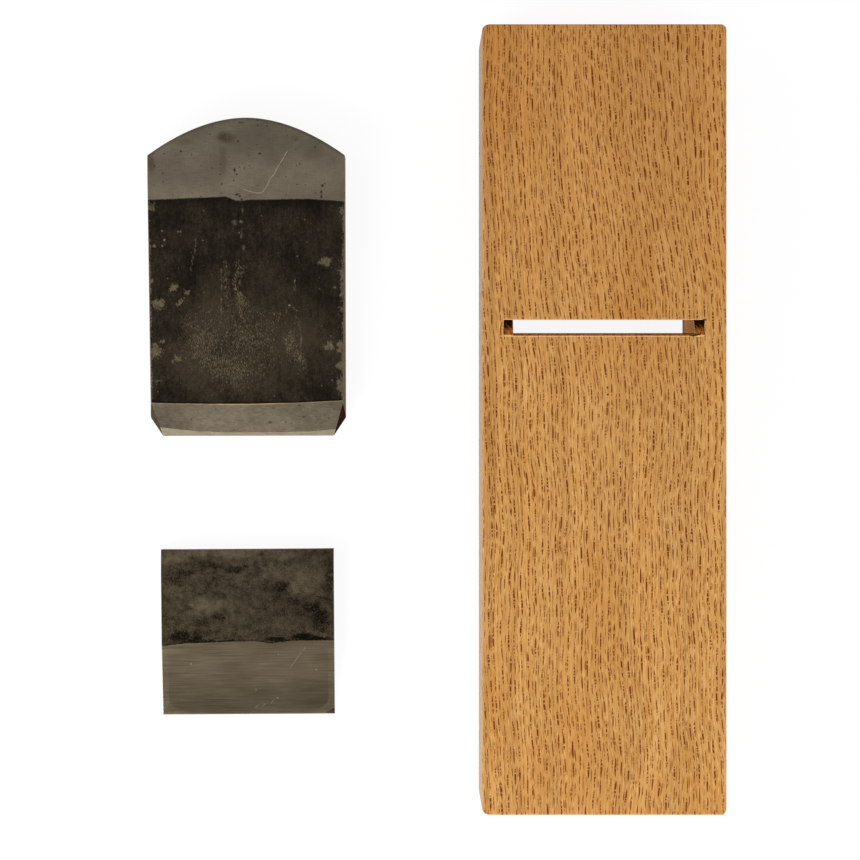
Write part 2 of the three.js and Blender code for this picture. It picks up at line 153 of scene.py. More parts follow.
def sheet_block(xs, ys, height, far):
    """Closed block between a curved sheet z = height(x, y) and the level plane z = far."""
    columns, rows = len(xs), len(ys)
    sheet = [(x, y, height(x, y)) for y in ys for x in xs]
    level = [(x, y, far) for y in ys for x in xs]
    count = columns * rows
    faces = []
    for r in range(rows - 1):
        for c in range(columns - 1):
            a = r * columns + c
            quad = (a, a + 1, a + 1 + columns, a + columns)
            faces.append(quad)
            faces.append(tuple(count + k for k in reversed(quad)))
    rim = list(range(columns))
    rim += [r * columns + columns - 1 for r in range(1, rows)]
    rim += [(rows - 1) * columns + c for c in range(columns - 2, -1, -1)]
    rim += [r * columns for r in range(rows - 2, 0, -1)]
    for i, a in enumerate(rim):
        b = rim[(i + 1) % len(rim)]
        faces.append((b, a, count + a, count + b))
    if far > height(xs[0], ys[0]):
        faces = [tuple(reversed(face)) for face in faces]
    return build("cutter", sheet + level, faces)


def plane_block(point, normal, reach):
    """Cube of side 2 x reach on the side of a plane that its normal points to."""
    normal = Vector(normal).normalized()
    turn = Vector((0, 0, 1)).rotation_difference(normal).to_matrix().to_4x4()
    middle = Vector(point) + normal * reach
    corners = [(x, y, z) for z in (-reach, reach) for y in (-reach, reach) for x in (-reach, reach)]
    faces = [(0, 2, 3, 1), (4, 5, 7, 6), (0, 1, 5, 4), (1, 3, 7, 5), (3, 2, 6, 7), (2, 0, 4, 6)]
    place = Matrix.Translation(middle) @ turn
    vertices = [tuple(place @ Vector(corner)) for corner in corners]
    return build("cutter", vertices, faces)


def plane_normal(a, b, c, away_from):
    """Normal of the plane through three points, on the side that another point isn't on."""
    normal = (Vector(b) - Vector(a)).cross(Vector(c) - Vector(a)).normalized()
    if (Vector(away_from) - Vector(a)).dot(normal) > 0:
        normal.negate()
    return normal


def apply_modifiers(piece):
    graph = bpy.context.evaluated_depsgraph_get()
    mesh = bpy.data.meshes.new_from_object(piece.evaluated_get(graph))
    piece.modifiers.clear()
    old = piece.data
    piece.data = mesh
    bpy.data.meshes.remove(old)


def combine(target, cutter, operation, keep=False):
    step = target.modifiers.new("step", "BOOLEAN")
    step.operation = operation
    step.solver = "EXACT"
    step.object = cutter
    apply_modifiers(target)
    if not keep:
        mesh = cutter.data
        bpy.data.objects.remove(cutter)
        bpy.data.meshes.remove(mesh)


def cut_sheet(piece, xs, ys, height, far):
    combine(piece, sheet_block(xs, ys, height, far), "DIFFERENCE")


def cut_plane(piece, point, normal, reach=90):
    """Cuts off what lies beyond a plane, on the side that its normal points to."""
    combine(piece, plane_block(point, normal, reach), "DIFFERENCE")


def part_layers(piece, name, xs, ys, weld):
    """Parts the steel under a weld from the iron over it, and gives the steel."""
    under = sheet_block(xs, ys, weld, WELD_FAR)
    steel = place_object(name, piece.data.copy())
    combine(steel, under, "INTERSECT", keep=True)
    combine(piece, under, "DIFFERENCE")
    return steel


def hollow_height(hollow, x, y):
    """Height of a hollow's floor over its flat face, less than 0 outside the hollow."""
    middle, reach_x, reach_y, power, depth, outside = hollow
    dish = 1 - (abs(x / reach_x) ** power + abs((y - middle) / reach_y) ** 4)
    return depth * min(dish * HOLLOW_SLOPE, 1) if dish > HOLLOW_RIM else outside


def ripple(depth, *place):
    """Small height of forging or welding at a place in its noise."""
    return noise.noise(Vector(place)) * depth


def steps(first, last, count):
    return [first + (last - first) * i / count for i in range(count + 1)]


def add_arris(piece, width, method):
    step = piece.modifiers.new("arris", "BEVEL")
    step.limit_method = method
    step.angle_limit = ARRIS_ANGLE
    step.width = width * MM
    step.segments = ARRIS_SEGMENTS


def soften_edges(piece, width, wanted):
    """Rounds the edges that wanted(normal_a, normal_b, middle) picks, middle in millimetres."""
    shape = bmesh.new()
    shape.from_mesh(piece.data)
    layers = shape.edges.layers.float
    weight = layers.get("bevel_weight_edge") or layers.new("bevel_weight_edge")
    for edge in shape.edges:
        if len(edge.link_faces) == 2:
            a, b = edge.link_faces
            middle = (edge.verts[0].co + edge.verts[1].co) / 2 / MM
            edge[weight] = wanted(a.normal, b.normal, middle)
    shape.to_mesh(piece.data)
    shape.free()
    add_arris(piece, width, "WEIGHT")
    apply_modifiers(piece)


def dress(piece, materials, choose):
    """Cleans a mesh up and gives each face the material chosen by its normal and its middle."""
    mesh = piece.data
    shape = bmesh.new()
    shape.from_mesh(mesh)
    bmesh.ops.remove_doubles(shape, verts=shape.verts, dist=SAME_PLACE)
    bmesh.ops.dissolve_degenerate(shape, edges=shape.edges, dist=SAME_PLACE)
    shape.to_mesh(mesh)
    shape.free()
    mesh.shade_smooth()
    mesh.set_sharp_from_angle(angle=SHARP_ANGLE)
    mesh.materials.clear()
    for material in materials:
        mesh.materials.append(material)
    for face in mesh.polygons:
        face.material_index = materials.index(choose(face.normal, face.center / MM))


# Shader helpers

class Term:
    """A value in a material's nodes. Sums, products and comparisons make nodes of their own."""

    def __init__(self, web, socket):
        self.web = web
        self.socket = socket

    def step(self, operation, *others):
        return self.web.math(operation, self, *others)

    def __rsub__(self, other):
        return self.web.math("SUBTRACT", other, self)

    __add__ = partialmethod(step, "ADD")
    __sub__ = partialmethod(step, "SUBTRACT")
    __mul__ = partialmethod(step, "MULTIPLY")
    __truediv__ = partialmethod(step, "DIVIDE")
    __pow__ = partialmethod(step, "POWER")
    __abs__ = partialmethod(step, "ABSOLUTE")
    __lt__ = partialmethod(step, "LESS_THAN")
    __gt__ = partialmethod(step, "GREATER_THAN")


class Web:
    """The nodes of a material or world. Colours are given as they are seen, 0 to 255."""

    def __init__(self, name, library=bpy.data.materials):
        self.owner = library.new(name)
        self.owner.use_nodes = True
        self.tree = self.owner.node_tree
        self.shader = self.tree.nodes.get("Principled BSDF")

    def node(self, kind, inputs=(), **settings):
        """New node, with its inputs listed in order or given by name."""
        node = self.tree.nodes.new(kind)
        for key, value in settings.items():
            setattr(node, key, value)
        for key, value in inputs.items() if isinstance(inputs, dict) else enumerate(inputs):
            self.put(node.inputs[key], value)
        return node

    def term(self, kind, inputs=(), output=0, **settings):
        """One output of a new node."""
        return Term(self, self.node(kind, inputs, **settings).outputs[output])

    def put(self, socket, value):
        if isinstance(value, Term):
            self.tree.links.new(value.socket, socket)
        else:
            socket.default_value = value

    def math(self, operation, *values):
        return self.term("ShaderNodeMath", values, operation=operation)

    floor = partialmethod(math, "FLOOR")
    root = partialmethod(math, "SQRT")
    max = partialmethod(math, "MAXIMUM")
    min = partialmethod(math, "MINIMUM")

    def most(self, values):
        return reduce(self.max, values)

    def ramp(self, value, low, high, out_low=0, out_high=1, smooth=True):
        kind = "SMOOTHSTEP" if smooth else "LINEAR"
        return self.term("ShaderNodeMapRange", (value, low, high, out_low, out_high), interpolation_type=kind)

    def vector(self, x, y, z):
        return self.term("ShaderNodeCombineXYZ", (x, y, z))

    def split(self, vector):
        node = self.node("ShaderNodeSeparateXYZ", [vector])
        return [Term(self, part) for part in node.outputs]

    def place(self):
        """Place on the piece in millimetres, as x, y and z."""
        return self.split(self.tint(self.term("ShaderNodeTexCoord", output="Object"), 1 / MM))

    def noise(self, place, detail=2, roughness=0.5, scale=1):
        inputs = {"Vector": self.vector(*place), "Scale": scale, "Detail": detail, "Roughness": roughness}
        return self.term("ShaderNodeTexNoise", inputs)

    def random(self, *cell):
        """Random value of a cell, and three more."""
        node = self.node("ShaderNodeTexWhiteNoise", {"Vector": self.vector(*cell)}, noise_dimensions="3D")
        return Term(self, node.outputs["Value"]), self.split(Term(self, node.outputs["Color"]))

    def mix(self, factor, a, b):
        node = self.node("ShaderNodeMix", {"Factor": factor}, data_type="RGBA")
        for name, value in (("A", a), ("B", b)):
            socket = [s for s in node.inputs if s.name == name and s.type == "RGBA"][0]
            self.put(socket, value if isinstance(value, Term) else linear(*value))
        return Term(self, [s for s in node.outputs if s.type == "RGBA"][0])

    def tint(self, colour, factor):
        """Colour or vector times a value."""
        return self.term("ShaderNodeVectorMath", {0: colour, "Scale": factor}, operation="SCALE")

    def shade(self, colour, *ramps):
        """Colour times one or more ramps."""
        for ramp in ramps:
            colour = self.tint(colour, self.ramp(*ramp))
        return colour

    def coat(self, colour, *coats):
        """Colour with others laid over it, each by its own share."""
        for share, other in coats:
            colour = self.mix(share, colour, other)
        return colour

    def blend(self, factor, a, b):
        """Value between a and b."""
        return self.term("ShaderNodeMix", {"Factor": factor, "A": a, "B": b}, data_type="FLOAT")

    def facing(self):
        """How far the surface faces along x, y and z, without sign."""
        return [abs(part) for part in self.split(self.term("ShaderNodeNewGeometry", output="Normal"))]

    def finish(self, colour, metallic, roughness, relief, depth, strength, shine=0.5):
        """Material with these values, and a relief with its depth in millimetres."""
        bump = {"Height": relief, "Distance": depth * MM, "Strength": strength}
        looks = {
            "Base Color": colour, "Metallic": metallic, "Roughness": roughness,
            "Specular IOR Level": shine, "Normal": self.term("ShaderNodeBump", bump),
        }
        for name, value in looks.items():
            self.put(self.shader.inputs[name], value)
        return self.owner

    def border(self, x, start, slopes):
        """Border that starts at one place and climbs or falls over its slopes."""
        for first, last, rise in slopes:
            start += self.ramp(x, first, last, 0, rise, smooth=False)
        return start

    def segments(self, x, y, table, width, soft):
        """1 on straight scratches between two places each, fading to 0 at their edges."""
        lines = []
        for ax, ay, bx, by in table:
            length = math.hypot(bx - ax, by - ay)
            ux, uy = (bx - ax) / length, (by - ay) / length
            dx, dy = x - ax, y - ay
            off = abs(dx * uy - dy * ux)
            past = self.max(abs(dx * ux + dy * uy - length / 2) - length / 2, 0)
            lines.append(self.ramp(off + past, width / 2, width / 2 + soft, 1, 0))
        return self.most(lines)

    def dots(self, x, y, spacing, share, size, seed):
        """Small round dots, at most one in each square of a grid, the largest with the radius given."""
        u, v = x * (1 / spacing), y * (1 / spacing)
        column, row = self.floor(u), self.floor(v)
        chance, (r, g, b) = self.random(column, row, seed)
        dx = u - column - (r * 0.6 + 0.2)
        dy = v - row - (g * 0.6 + 0.2)
        reach = self.root(dx * dx + dy * dy) * spacing
        past = reach - (b * 0.7 + 0.3) * size
        return self.ramp(past, -0.08, 0.06, 1, 0) * (chance < share)

    def spots(self, x, y, table):
        """Round marks, each with its middle, reach and strength, fading to 0 at their rims."""
        marks = []
        for middle_x, middle_y, reach_x, reach_y, strength in table:
            dx, dy = (x - middle_x) * (1 / reach_x), (y - middle_y) * (1 / reach_y)
            marks.append(self.ramp(self.root(dx * dx + dy * dy), 0.3, 1, 1, 0) * strength)
        return self.most(marks)


def linear(*seen):
    """Colour as it is seen, 0 to 255, as the shader wants it."""
    def channel(value):
        value /= 255
        return value / 12.92 if value <= 0.04045 else ((value + 0.055) / 1.055) ** 2.4
    return (*[channel(value) for value in seen], 1)


# Oak: rays run along Y and up through the block, so they are dashes on the sole and lines on the ends

# Where the block is cut through: half width, middle and reach along the block, in millimetres
DAI_CUT_HALF = 36.5
DAI_CHEEK_HALF = 31.6
MOUTH_MIDDLE = 31.6
MOUTH_HALF = 2.75
DAI_CUT_MIDDLE = 40
DAI_CUT_REACH = 60

# Colours of the oak, as they are seen, 0 to 255
OAK_BODY = ((190, 132, 65), (211, 160, 94))
OAK_RAY = (108, 44, 5)
OAK_PALE_RAY = (226, 183, 121)
OAK_CLOUD = (190, 126, 52)
# Painted shade: the oak darkened towards the head, the end away from the lamps
OAK_SHADED_HEAD_END = (180, 110, 46)
OAK_PORE = (112, 62, 26)
OAK_END = (138, 86, 40)
# Sides of the block: oak paled and greyed by a painted sheen of the white surroundings seen at a grazing
# angle
OAK_FLANK_SHEEN = ((142, 116, 86), (162, 136, 106))
OAK_FLANK_PORE = (118, 84, 52)
OAK_CUT = ((128, 60, 16), (204, 126, 56))
# Painted light: the throat's side walls brighter than the oak, as if lit inside the throat
OAK_LIT_CHEEK = (217, 170, 104)
OAK_FRESH = (226, 158, 92)
# Painted highlight along the lips of the mouth
OAK_LIP_HIGHLIGHT = (250, 206, 134)
OAK_NICK = (62, 32, 12)

# Rays: column spacing, cell length, stroke width, fill, shortest and longest half stroke
RAY_STRONG = (2.3, 7.6, 0.62, 1, 0.38, 0.5)
RAY_SECOND = (2.3, 6.4, 0.44, 0.78, 0.26, 0.47)
RAY_SMALL = (1.3, 4.2, 0.38, 0.6, 0.2, 0.42)
RAY_PALE = (1.3, 5.2, 0.46, 0.75, 0.2, 0.45)

# Pale cuts in the painted shade of the grooves, and splinters broken out at the right end of the mouth
GROOVE_CUTS = (
    (25.8, 33.3, 28, 30.8), (91.6, 32.6, 92.6, 30.4), (92.9, 33, 93.9, 31.4),
)
MOUTH_NICKS = (
    (94.2, 34.4, 1.3, 0.6, 1), (90.3, 29.2, 2.2, 0.9, 1), (92, 29.3, 1.8, 0.45, 0.9),
)


def ray_strokes(web, x, y, kind, seed):
    """Short strokes in loose columns: each cell of a column holds one, with its own place and size."""
    spacing, length, width, fill, shortest, longest = kind
    u = x * (1 / spacing) + seed * 7.37
    column = web.floor(u)
    across = u - column - 0.5
    shift, (drift, _, _) = web.random(column, seed, 3.1)
    v = y * (1 / length) + column * 0.37 + shift * 0.5
    row = web.floor(v)
    along = v - row - 0.5
    chance, (r, g, b) = web.random(column, row, seed)
    middle = (r - 0.5) * 0.24 + (drift - 0.5) * 0.3
    half_length = g * (longest - shortest) + shortest
    off = abs(across - middle) * spacing
    reach = abs(along) / half_length
    taper = web.min(reach, 1) ** 3
    half_width = (1 - taper) * (b * 0.45 + 0.65) * (width / 2)
    edge = off / web.max(half_width, 0.01)
    stroke = web.ramp(edge, 0.6, 1.25, 1, 0)
    present = chance < fill
    inside = reach < 1
    return stroke * inside * present * (b * 0.2 + 0.8)


def fibre_course(web, x, y, z, centre):
    """Place across the fibres, which lean and wander a few degrees along the block."""
    wander = web.noise((x * 0.011, y * 0.014, z * 0.02), 1)
    ripple = web.noise((x * 0.034, y * 0.042, z * 0.06), 1)
    waver = web.noise((x * 0.16, y * 0.13, z * 0.16), 1)
    lean = y * 0.028 + (wander - 0.5) * 9
    towards_head = web.ramp(y, 10, 140, 0, 7.5, smooth=False)
    lean += towards_head * web.ramp(abs(x - centre), 14, 44, 1, 0.35)
    return x + lean + (ripple - 0.5) * 2.2 + (waver - 0.5) * 0.7


def oak_rays(web, x, y, z, grain_x):
    """Dark strokes broken into beads, and pale strokes between them."""
    grain_y = y + web.noise((x * 0.3, y * 0.06, z * 0.1), 1) * 7
    strong = ray_strokes(web, grain_x, grain_y, RAY_STRONG, 1)
    second = ray_strokes(web, grain_x, grain_y, RAY_SECOND, 2.425)
    small = ray_strokes(web, grain_x, grain_y, RAY_SMALL, 4)
    pale = ray_strokes(web, grain_x, grain_y, RAY_PALE, 6.2)
    beads = web.ramp(web.noise((grain_x * 0.7, y * 1.25, z * 0.8), 0), 0.36, 0.45, 0.22, 1)
    return web.most([strong * beads, second * beads * 0.8, small * 0.42]), pale


def oak_rings(web, x, y, z, centre, stray):
    """Growth rings that curve down to both sides, with a row of open pores at the start of each."""
    bow = abs(x - (centre + 14)) ** 2
    ring = web.math("FRACT", z * 0.34 + bow * 0.0011 + stray * 1.4)
    early = web.ramp(ring, 0, 0.42, 1, 0)
    pore = web.noise((x * 3.2, y * 0.2, z * 3.2), 1)
    pores = web.ramp(pore, 0.54, 0.64) * (early * 0.8 + 0.2)
    dark = web.ramp(early * web.ramp(pore, 0.35, 0.65, 0.6, 1), 0, 1, 0.3, 0.6)
    return ring, pores, dark


# Painted sheen on the block's sides: paler, greyer oak, brighter towards -Y as painted light from the lamps'
# side
def oak_flank_sheen(web, y, fibre, fine, pores):
    flank = web.mix(web.ramp(fibre, 0.32, 0.68), *OAK_FLANK_SHEEN)
    flank = web.shade(flank, (fine, 0.25, 0.75, 0.92, 1.06), (y, -75, 75, 1.22, 1.1))
    return web.mix(pores * 0.35, flank, OAK_FLANK_PORE)


def oak_cut(web, x, y, below, centre, chisel, side_on):
    """Cut surfaces of the mouth and throat: end grain, oiled dark, with chisel marks, painted light on the
    side walls and painted shade deep in the grooves.
    """
    # Side walls of the cut take painted light
    cut = web.mix(side_on, web.mix(web.ramp(chisel, 0.35, 0.65), *OAK_CUT), OAK_LIT_CHEEK)
    # Painted shade: the cut faces in the grooves darken with their depth below the sole
    shaded_groove = abs(x - centre) > DAI_CHEEK_HALF
    depth = below + (chisel - 0.5) * 4 + (y - MOUTH_MIDDLE) * 0.5
    cut = web.tint(cut, 1 - shaded_groove * web.ramp(depth, 1.2, 3, 0, 0.95))
    return web.mix(web.segments(x, y, GROOVE_CUTS, 0.04, 0.2) * 0.7, cut, OAK_FRESH)


def mouth_highlight_and_wear(web, x, y, centre, chisel, inner, upper):
    """Coats for a painted highlight along the lips of the mouth and for the splinters broken out at its right
    end.
    """
    from_lip = abs(abs(y - MOUTH_MIDDLE) - MOUTH_HALF)
    # Painted highlight: a pale line along both lips of the mouth
    lip_highlight = web.ramp(from_lip, 0.15, 0.5, 1, 0) * web.ramp(abs(x - centre), 34.4, 34.9, 1, 0)
    splinter = web.noise((x * 2.6, y * 2.6, 3), 2, 0.7)
    nicks = web.spots(x + (chisel - 0.5) * 1.6, y, MOUTH_NICKS) * upper
    nicks = web.ramp(nicks + (splinter - 0.5), 0.4, 0.6)
    return (lip_highlight * (0.5 - inner * 0.5), OAK_LIP_HIGHLIGHT), (nicks * 0.85, OAK_NICK)


def oak():
    """The block's oak, with sole, flanks, ends and cut faces told apart by how they face."""
    web = Web("oiled_white_oak")
    x, y, z = web.place()
    low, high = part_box("dai_body")
    centre, left, top = (low.x + high.x) / 2 / MM, low.x / MM, high.z / MM
    side_on, end_on, _ = web.facing()
    side_on, end_on = web.ramp(side_on, 0.6, 0.9), web.ramp(end_on, 0.6, 0.9)
    grain_x = fibre_course(web, x, y, z, centre)
    rays, pale = oak_rays(web, x, y, z, grain_x)
    fibre = web.noise((grain_x * 2.1, y * 0.07, z * 2.1), 3, 0.6)
    fine = web.noise((grain_x * 6, y * 0.45, z * 6), 2, 0.6)
    cloud = web.noise((x * 0.03, y * 0.012, z * 0.03), 2)
    stray = web.noise((x * 0.06, y * 0.008, z * 0.08), 1)
    ring, pores, dark = oak_rings(web, x, y, z, centre, stray)

    body = web.mix(web.ramp(fibre, 0.3, 0.7), *OAK_BODY)
    clouded = web.ramp(cloud, 0.45, 0.7, 0, 0.4)
    # Painted shade towards the head end, away from the lamps
    towards_head = web.ramp(y, 0, 130, 0, 0.3, smooth=False)
    body = web.coat(body, (pale * 0.5, OAK_PALE_RAY), (clouded, OAK_CLOUD), (towards_head, OAK_SHADED_HEAD_END))
    body = web.shade(body, (ring, 0, 1, 0.95, 1.04), (fine, 0.25, 0.75, 0.88, 1.08))
    open_pores = pores * (web.max(side_on, end_on) * 0.45 + 0.12)
    seen = rays * (1 - (side_on * 0.85 + end_on * 0.5))
    flank = oak_flank_sheen(web, y, fibre, fine, pores)
    body = web.coat(body, (open_pores, OAK_PORE), (seen * 0.97, OAK_RAY), (end_on * dark, OAK_END))
    # The sides take the painted sheen in place of the oak's own colour
    body = web.mix(side_on * 0.88, body, flank)
    edge = web.ramp(abs(x - (left + 3)), 0.5, 3, 1, 0)
    body = web.tint(body, 1 - edge * web.ramp(stray, 0.3, 0.7) * 0.12)

    within = (abs(x - centre) < DAI_CUT_HALF) * (abs(y - DAI_CUT_MIDDLE) < DAI_CUT_REACH)
    inner = within * (z < top - 0.05) * (z > 0.05)
    chisel = web.noise((x * 1.3, y * 0.9, z * 0.4), 4, 0.65)
    cut = oak_cut(web, x, y, top - z, centre, chisel, side_on)
    highlight_and_wear = mouth_highlight_and_wear(web, x, y, centre, chisel, inner, z > top - 1.5)
    body = web.coat(body, (inner * 0.9, cut), *highlight_and_wear)

    roughness = web.max(web.ramp(fine, 0.2, 0.8, 0.48, 0.64), inner * 0.8)
    relief = rays * -0.8 + fibre * 0.4 + inner * chisel * 2.5 - pores * 0.5
    return web.finish(body, 0, roughness, relief, 0.06, 0.8, shine=(0.16 - inner * 0.12) * (1 - rays))


# Metals

# Colours of the blade: forge scale, ground band and bevel
SCALE = ((28, 23, 18), (70, 61, 47))
SCALE_BARE = (126, 112, 88)
SCALE_STRAY = (116, 102, 79)
SCALE_MARK = (158, 142, 114)
BAND = ((117, 107, 91), (132, 122, 104))
BAND_STAIN = (74, 60, 40)
BAND_SPECK = (88, 76, 58)
BAND_SHADE = (22, 18, 13)
BAND_SCRATCH = (214, 194, 162)
BAND_PIT = (36, 30, 22)
HEEL_LINE = (16, 12, 8)
BEVEL = ((119, 109, 91), (133, 122, 105))
BEVEL_PIT = (66, 54, 38)
BEVEL_SPECK = (84, 70, 50)
# Painted highlight along the bevel's heel
BEVEL_HEEL_HIGHLIGHT = (218, 178, 134)

# Ground metals: two colours, streaks across and along, roughness, and strength of the pits. The hollows
# are scraped, duller and darker than the lapped rims around them
LAPPED_IRON = ((124, 113, 95), (140, 129, 111), (0.25, 1.6), (0.3, 0.4), 0.6)
HONED_STEEL = ((176, 162, 139), (188, 174, 151), (0.4, 3), (0.2, 0.28), 0.15)
CHIP_FLAT = ((140, 126, 104), (160, 146, 122), (0.1, 2), (0.32, 0.42), 0.3)
SCRAPED = ((92, 83, 68), (112, 102, 85), (0.5, 0.9), (0.42, 0.54), 0.6)
GROUND_PIT = (62, 52, 40)

# Forged sides, and the blade's ear facets and the chipbreaker's worn corner painted lit or shaded: two
# colours, how metallic, how shiny
BLADE_SIDE = ((72, 60, 44), (116, 98, 72), 0.6, 0.1)
# Ear facets: one forged surface painted as a lit left copy and a darker shaded right copy, the right also
# rust red
LIT_LEFT_EAR = ((44, 36, 26), (78, 66, 49), 0, 0.05)
SHADED_RIGHT_EAR = ((30, 15, 8), (56, 29, 14), 0, 0.02)
CHIP_SIDE = ((58, 50, 40), (104, 90, 70), 0.6, 0.1)
# Worn corner facet of the chipbreaker, darkened as painted shade
CHIP_WORN_SHADED = ((42, 36, 27), (70, 62, 48), 0.3, 0.1)
RUST = (104, 68, 40)

# Ground band across the blade's head: where it starts, and how its border climbs and falls across the blade
BLADE_BAND_START = 84.64
BLADE_BAND_SLOPES = (
    (-35.3, -7.7, 1.1), (-7.2, -3.6, -1.45), (-1.6, 1.2, 0.35),
    (5, 20, 0.25), (22, 35.2, -0.9),
)

# Marks on the blade's upper face, in its own millimetres from the middle of the edge
BLADE_SCRATCH = (
    (-0.8, 88.4, 2.1, 87.4), (2.1, 87.4, 4.6, 87), (4.6, 87, 6.1, 87.6), (6.1, 87.6, 7.6, 89.8),
    (7.6, 89.8, 8.8, 92.5), (8.8, 92.5, 10.3, 94), (10.3, 94, 11, 95.7), (11, 95.7, 14.9, 102.1),
)
BLADE_STREAKS = (
    (-18.1, 71.1, -18.3, 66.7), (-18.3, 66.7, -19.8, 61.3), (-19.8, 61.3, -20.2, 58),
    (-9, 60.5, -9.1, 44), (-2.3, 61, -2.4, 44), (-1.5, 83.9, -1.3, 79.4),
    (-1.6, 75, -1.9, 71), (17, 57, 17.8, 50.6), (15.4, 46.6, 14.4, 44.2),
    (17.2, 46, 19.6, 36), (19.6, 36, 18.8, 24),
)
BLADE_WORN = (
    (-5, 33, 29, 23, 0.62), (-14, 32, 12, 12, 0.8), (-2, 37, 12, 12, 0.75),
    (-8, 25, 14, 9, 0.8), (-9, 54, 2.6, 15, 0.7), (-2.6, 52, 3.4, 15, 0.85),
    (18.5, 32, 4, 13, 0.85), (10.5, 40, 2.6, 10, 0.65), (-26.4, 53.1, 2.3, 2.4, 1.3),
    (-21, 50.1, 2.2, 2.4, 1.2), (-24, 46.4, 3.4, 1.5, 1.1), (-31.8, 47.2, 3.9, 2.6, 1.4),
    (-34.2, 55.9, 1.3, 1.6, 1.2), (-32.8, 30.9, 3.4, 4.4, 1.3), (-30.6, 34.2, 1.4, 1.7, 1.2),
    (-25.2, 28, 1.5, 1.3, 1.6), (-27, 26.6, 1.1, 1, 1.4), (-31.8, 19.6, 2.2, 1.2, 1),
    (29.2, 32, 3, 2.5, 1.5), (33.8, 31.9, 2.3, 3.6, 1.4), (33.9, 45.2, 1.5, 1.7, 1.4),
    (34.8, 56, 2.2, 14, 1.2), (33.9, 25, 2.2, 3, 1.4), (34.1, 18.2, 2.8, 4.6, 1.4),
    (28.2, 62.5, 3.6, 2.5, 1.3), (-34, 82.8, 2.2, 2.6, 1.2), (34.2, 81, 1.4, 2.6, 1.2),
)
BLADE_SMUDGES = (
    (-4.2, 76.5, 1.5, 1.5, 0.6), (-1.8, 76.9, 1.1, 0.6, 0.9), (-1, 67.6, 1, 1.3, 0.4),
    (-30.1, 73.6, 0.6, 0.5, 0.9), (-29.4, 70.4, 0.6, 0.6, 1.2), (-30.1, 68.3, 0.6, 0.5, 1),
    (-33, 68.2, 0.9, 0.8, 1), (-24, 73.3, 1.2, 0.6, 0.7), (20.9, 77.5, 0.5, 0.4, 0.9),
    (17.3, 55.6, 0.5, 0.5, 1.5), (15.4, 46.9, 0.7, 0.5, 1.5), (31.7, 53.3, 0.6, 0.6, 1.1),
)
BLADE_PITS = (
    (-23.3, 102.1, 0.6, 0.6, 1), (5, 101.2, 0.7, 0.7, 1), (-2.8, 105.6, 0.6, 0.6, 1),
    (19.3, 97.5, 0.5, 0.5, 1), (-8.7, 90.3, 0.5, 0.5, 1), (-4.1, 95.3, 0.6, 1.2, 1),
    (-3.3, 93.8, 0.6, 0.5, 1), (-0.6, 96, 0.45, 0.45, 0.9), (-4.4, 91.7, 0.45, 0.6, 0.9),
    (-3.3, 86.6, 0.9, 0.7, 1), (-2.3, 86, 0.7, 0.6, 1), (-1.6, 84.8, 0.6, 0.7, 1),
    (27.4, 89.7, 0.75, 0.75, 1), (27, 87.4, 0.6, 0.9, 1), (27, 85.8, 0.5, 1.1, 1),
    (-1.6, 112.3, 1.6, 0.45, 0.7),
)
BLADE_STAINS = (
    (-34.2, 97.7, 2, 4.5, 1), (-21.8, 105.4, 4.5, 1.9, 0.6), (24.3, 100.9, 5.5, 3.5, 0.5),
    (17.4, 106.6, 2.2, 2, 0.5), (-7, 107, 4.2, 3, 1.4), (-8.5, 98, 2, 8, 0.5),
)


def blade_rim(x, y):
    """How far a place lies past the border of the upper face, less than 0 on it."""
    lean = (BLADE_WIDTH - BLADE_HEEL_WIDTH) / 2 / (BLADE_LENGTH - BLADE_HEAD_RISE - BLADE_BEVEL)
    half = (y - BLADE_BEVEL) * lean + (BLADE_HEEL_WIDTH / 2 - BLADE_ARRIS)
    return abs(x) - half


def head_rim(x, y):
    """How far a place lies past the round head, less than 0 on the blade."""
    share = abs(x) * (2 / BLADE_WIDTH)
    drop = share ** BLADE_HEAD_POWER * BLADE_HEAD_RISE
    return y - (BLADE_LENGTH - drop)


def worn_places(web, x, y, near, coarse):
    """How far the scale is worn off, in the places that are listed and along the rim."""
    far = web.noise((x, y, 5), 1, scale=0.09)
    far_y = web.noise((x, y, 15), 1, scale=0.09)
    near_y = (web.noise((x, y, 9), 3, 0.65, scale=0.45) - 0.5) * 6
    inward = web.ramp(abs(x), 18, 30, 1, 0) * 16
    warp_x = x + near + (far - 0.5) * inward
    warp_y = y + near_y + (far_y - 0.5) * inward
    rim = web.ramp(blade_rim(x, y), -0.9, 0, 0, 0.9) * web.ramp(coarse, 0.4, 0.6, 0.6, 1.2)
    return web.max(web.spots(warp_x, warp_y, BLADE_WORN), rim)


